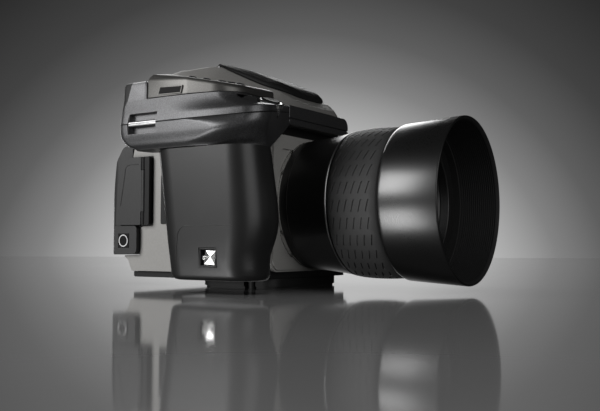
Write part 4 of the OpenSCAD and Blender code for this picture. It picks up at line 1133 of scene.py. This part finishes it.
def joined(shapes):
    """One shape made of several."""
    whole = bmesh.new()
    for shape in shapes:
        part = bpy.data.meshes.new("part")
        shape.to_mesh(part)
        shape.free()
        whole.from_mesh(part)
        bpy.data.meshes.remove(part)
    return whole


def add_group(name, shapes, body, material, smooth=GROUP_SMOOTH):
    """Several small shapes as one piece."""
    whole = joined(shapes)
    soften(whole, smooth)
    print(name, "shapes:", len(shapes))
    add_piece(name, whole, body, material)


add_group("cover_screws",
          [screw((LEFT_COVER_X, y, z), (1.0, 0.0, 0.0), 1.5)
           for y in (-27.5, 15.5) for z in (17.0, 72.0)],
          "camera", satin_metal)
add_group("back_screws",
          [screw((x, y, z), (0.0, 0.0, -1.0), 1.4) for x in (-35.0, 35.0)
           for y, z in ((29.0, 8.4), (38.5, 4.8), (61.5, 4.8))],
          "camera", satin_metal)

# %% [markdown]
# ## Tripod threads
# The base has two tripod sockets, a large and a small one. In the solids they are plain bores, as wide
# as the thread's core. Here each bore hints at its thread with a few rings of teeth, somewhat finer
# than the real ones, spun about the socket's line. A helix would look the same from outside.

# %% Tripod threads
LARGE_SOCKET = {"place": (0.0, 0.0, 0.0), "radius": 4.0, "pitch": 1.27}
SMALL_SOCKET = {"place": (0.0, -14.0, 0.0), "radius": 2.55, "pitch": 1.06}
THREAD_TURNS = 3
THREAD_MOUTH = 0.3
THREAD_WALL = 0.4
THREAD_ROOT = 0.1
THREAD_CREST = 0.55
THREAD_STEPS = 64
THREAD_SMOOTH = 25


def thread(place, radius, pitch):
    """Teeth in a bore: its place, its radius, and the distance from tooth to tooth."""
    root = (radius - THREAD_ROOT, THREAD_MOUTH)
    crest = (radius - THREAD_CREST, THREAD_MOUTH + pitch / 2)
    teeth = repeated(root, crest, (0.0, pitch), THREAD_TURNS)
    top = THREAD_MOUTH + THREAD_TURNS * pitch
    wall = radius + THREAD_WALL
    return spun([(wall, THREAD_MOUTH)] + teeth + [(radius - THREAD_ROOT, top), (wall, top)],
                place, (0.0, 0.0, 1.0), THREAD_STEPS)


add_group("tripod_threads", [thread(**LARGE_SOCKET), thread(**SMALL_SOCKET)],
          "camera", satin_metal, THREAD_SMOOTH)

# %% [markdown]
# ## Painted marks
# White dots show where to press the pad and the keys, and a larger one on the barrel shows how the
# lens goes on. A mark could be a patch of colour in the finish. Paint stands a little proud, though,
# and a dot that is a piece rides its key when the key is pressed.

# %% Painted marks
DOT_STEPS = 20
DOT_RISE = 0.06
KEY_FACE_Y = 87.55
KEY_Z = 25.0
KEY_X = 22.0
KEY_DOT_R = 0.5
PAD_DOT_R = 0.45
PAD_DOTS = [(-6.0, 0.0), (6.0, 0.0), (0.0, 3.4), (0.0, -3.4)]
INDEX_DOT_R = 1.0
INDEX_Y = -42.6


def dot(place, along, radius):
    """A low painted dot on a face."""
    return spun([(0.0, DOT_RISE), (0.7 * radius, 0.9 * DOT_RISE), (radius, 0.0), (radius, -0.1)],
                place, along, DOT_STEPS, closed=False)


def rear_dot(x, z, radius):
    """A dot on a key of the digital back."""
    return dot((x, KEY_FACE_Y, KEY_Z + z), (0.0, 1.0, 0.0), radius)


add_group("pad_marks", [rear_dot(x, z, PAD_DOT_R) for x, z in PAD_DOTS],
          body_of("navigation_pad"), white_enamel)
add_group("key_marks_left", [rear_dot(KEY_X, 0.0, KEY_DOT_R)],
          body_of("left_key"), white_enamel)
add_group("key_marks_right", [rear_dot(-KEY_X, 0.0, KEY_DOT_R)],
          body_of("right_key"), white_enamel)
add_group("lens_index", [dot((0.0, INDEX_Y, LENS_Z + BASE_R), (0.0, 0.0, 1.0), INDEX_DOT_R)],
          "lens", white_enamel)

# %% [markdown]
# ## Shoe contacts
# An accessory shoe has a black insulating plate with one large contact and four small ones. The plate
# is a cube scaled to size with a bevel all round, which suits a plain moulded part. The contacts are
# low domes, turned like the screws.

# %% Shoe contacts
SHOE_FLOOR = 129.4
INSERT_SIZE = Vector((12.0, 17.4, 0.5))
INSERT_PLACE = Vector((0.0, 39.6, SHOE_FLOOR + 0.1))
INSERT_RADIUS = 0.15
CONTACT_STEPS = 28
CONTACTS = [
    (0.0, 40.0, 2.2), (-4.2, 35.6, 1.1), (4.2, 35.6, 1.1), (-4.2, 44.4, 1.1), (4.2, 44.4, 1.1),
]
insert = bmesh.new()
bmesh.ops.create_cube(insert, size=1.0)
bmesh.ops.scale(insert, verts=insert.verts, vec=INSERT_SIZE * MM)
bmesh.ops.translate(insert, verts=insert.verts, vec=INSERT_PLACE * MM)
bmesh.ops.bevel(
    insert, geom=insert.edges, offset=INSERT_RADIUS * MM, affect="EDGES", segments=2, profile=0.5,
    material=-1)
soften(insert, GROUP_SMOOTH)
add_piece("shoe_insert", insert, "camera", key_plastic)
add_group("shoe_contacts",
          [spun([(0.0, 0.55), (0.7 * r, 0.52), (r, 0.35), (r, 0.0)], (x, y, SHOE_FLOOR),
                (0.0, 0.0, 1.0), CONTACT_STEPS, closed=False) for x, y, r in CONTACTS],
          "camera", bright_metal)
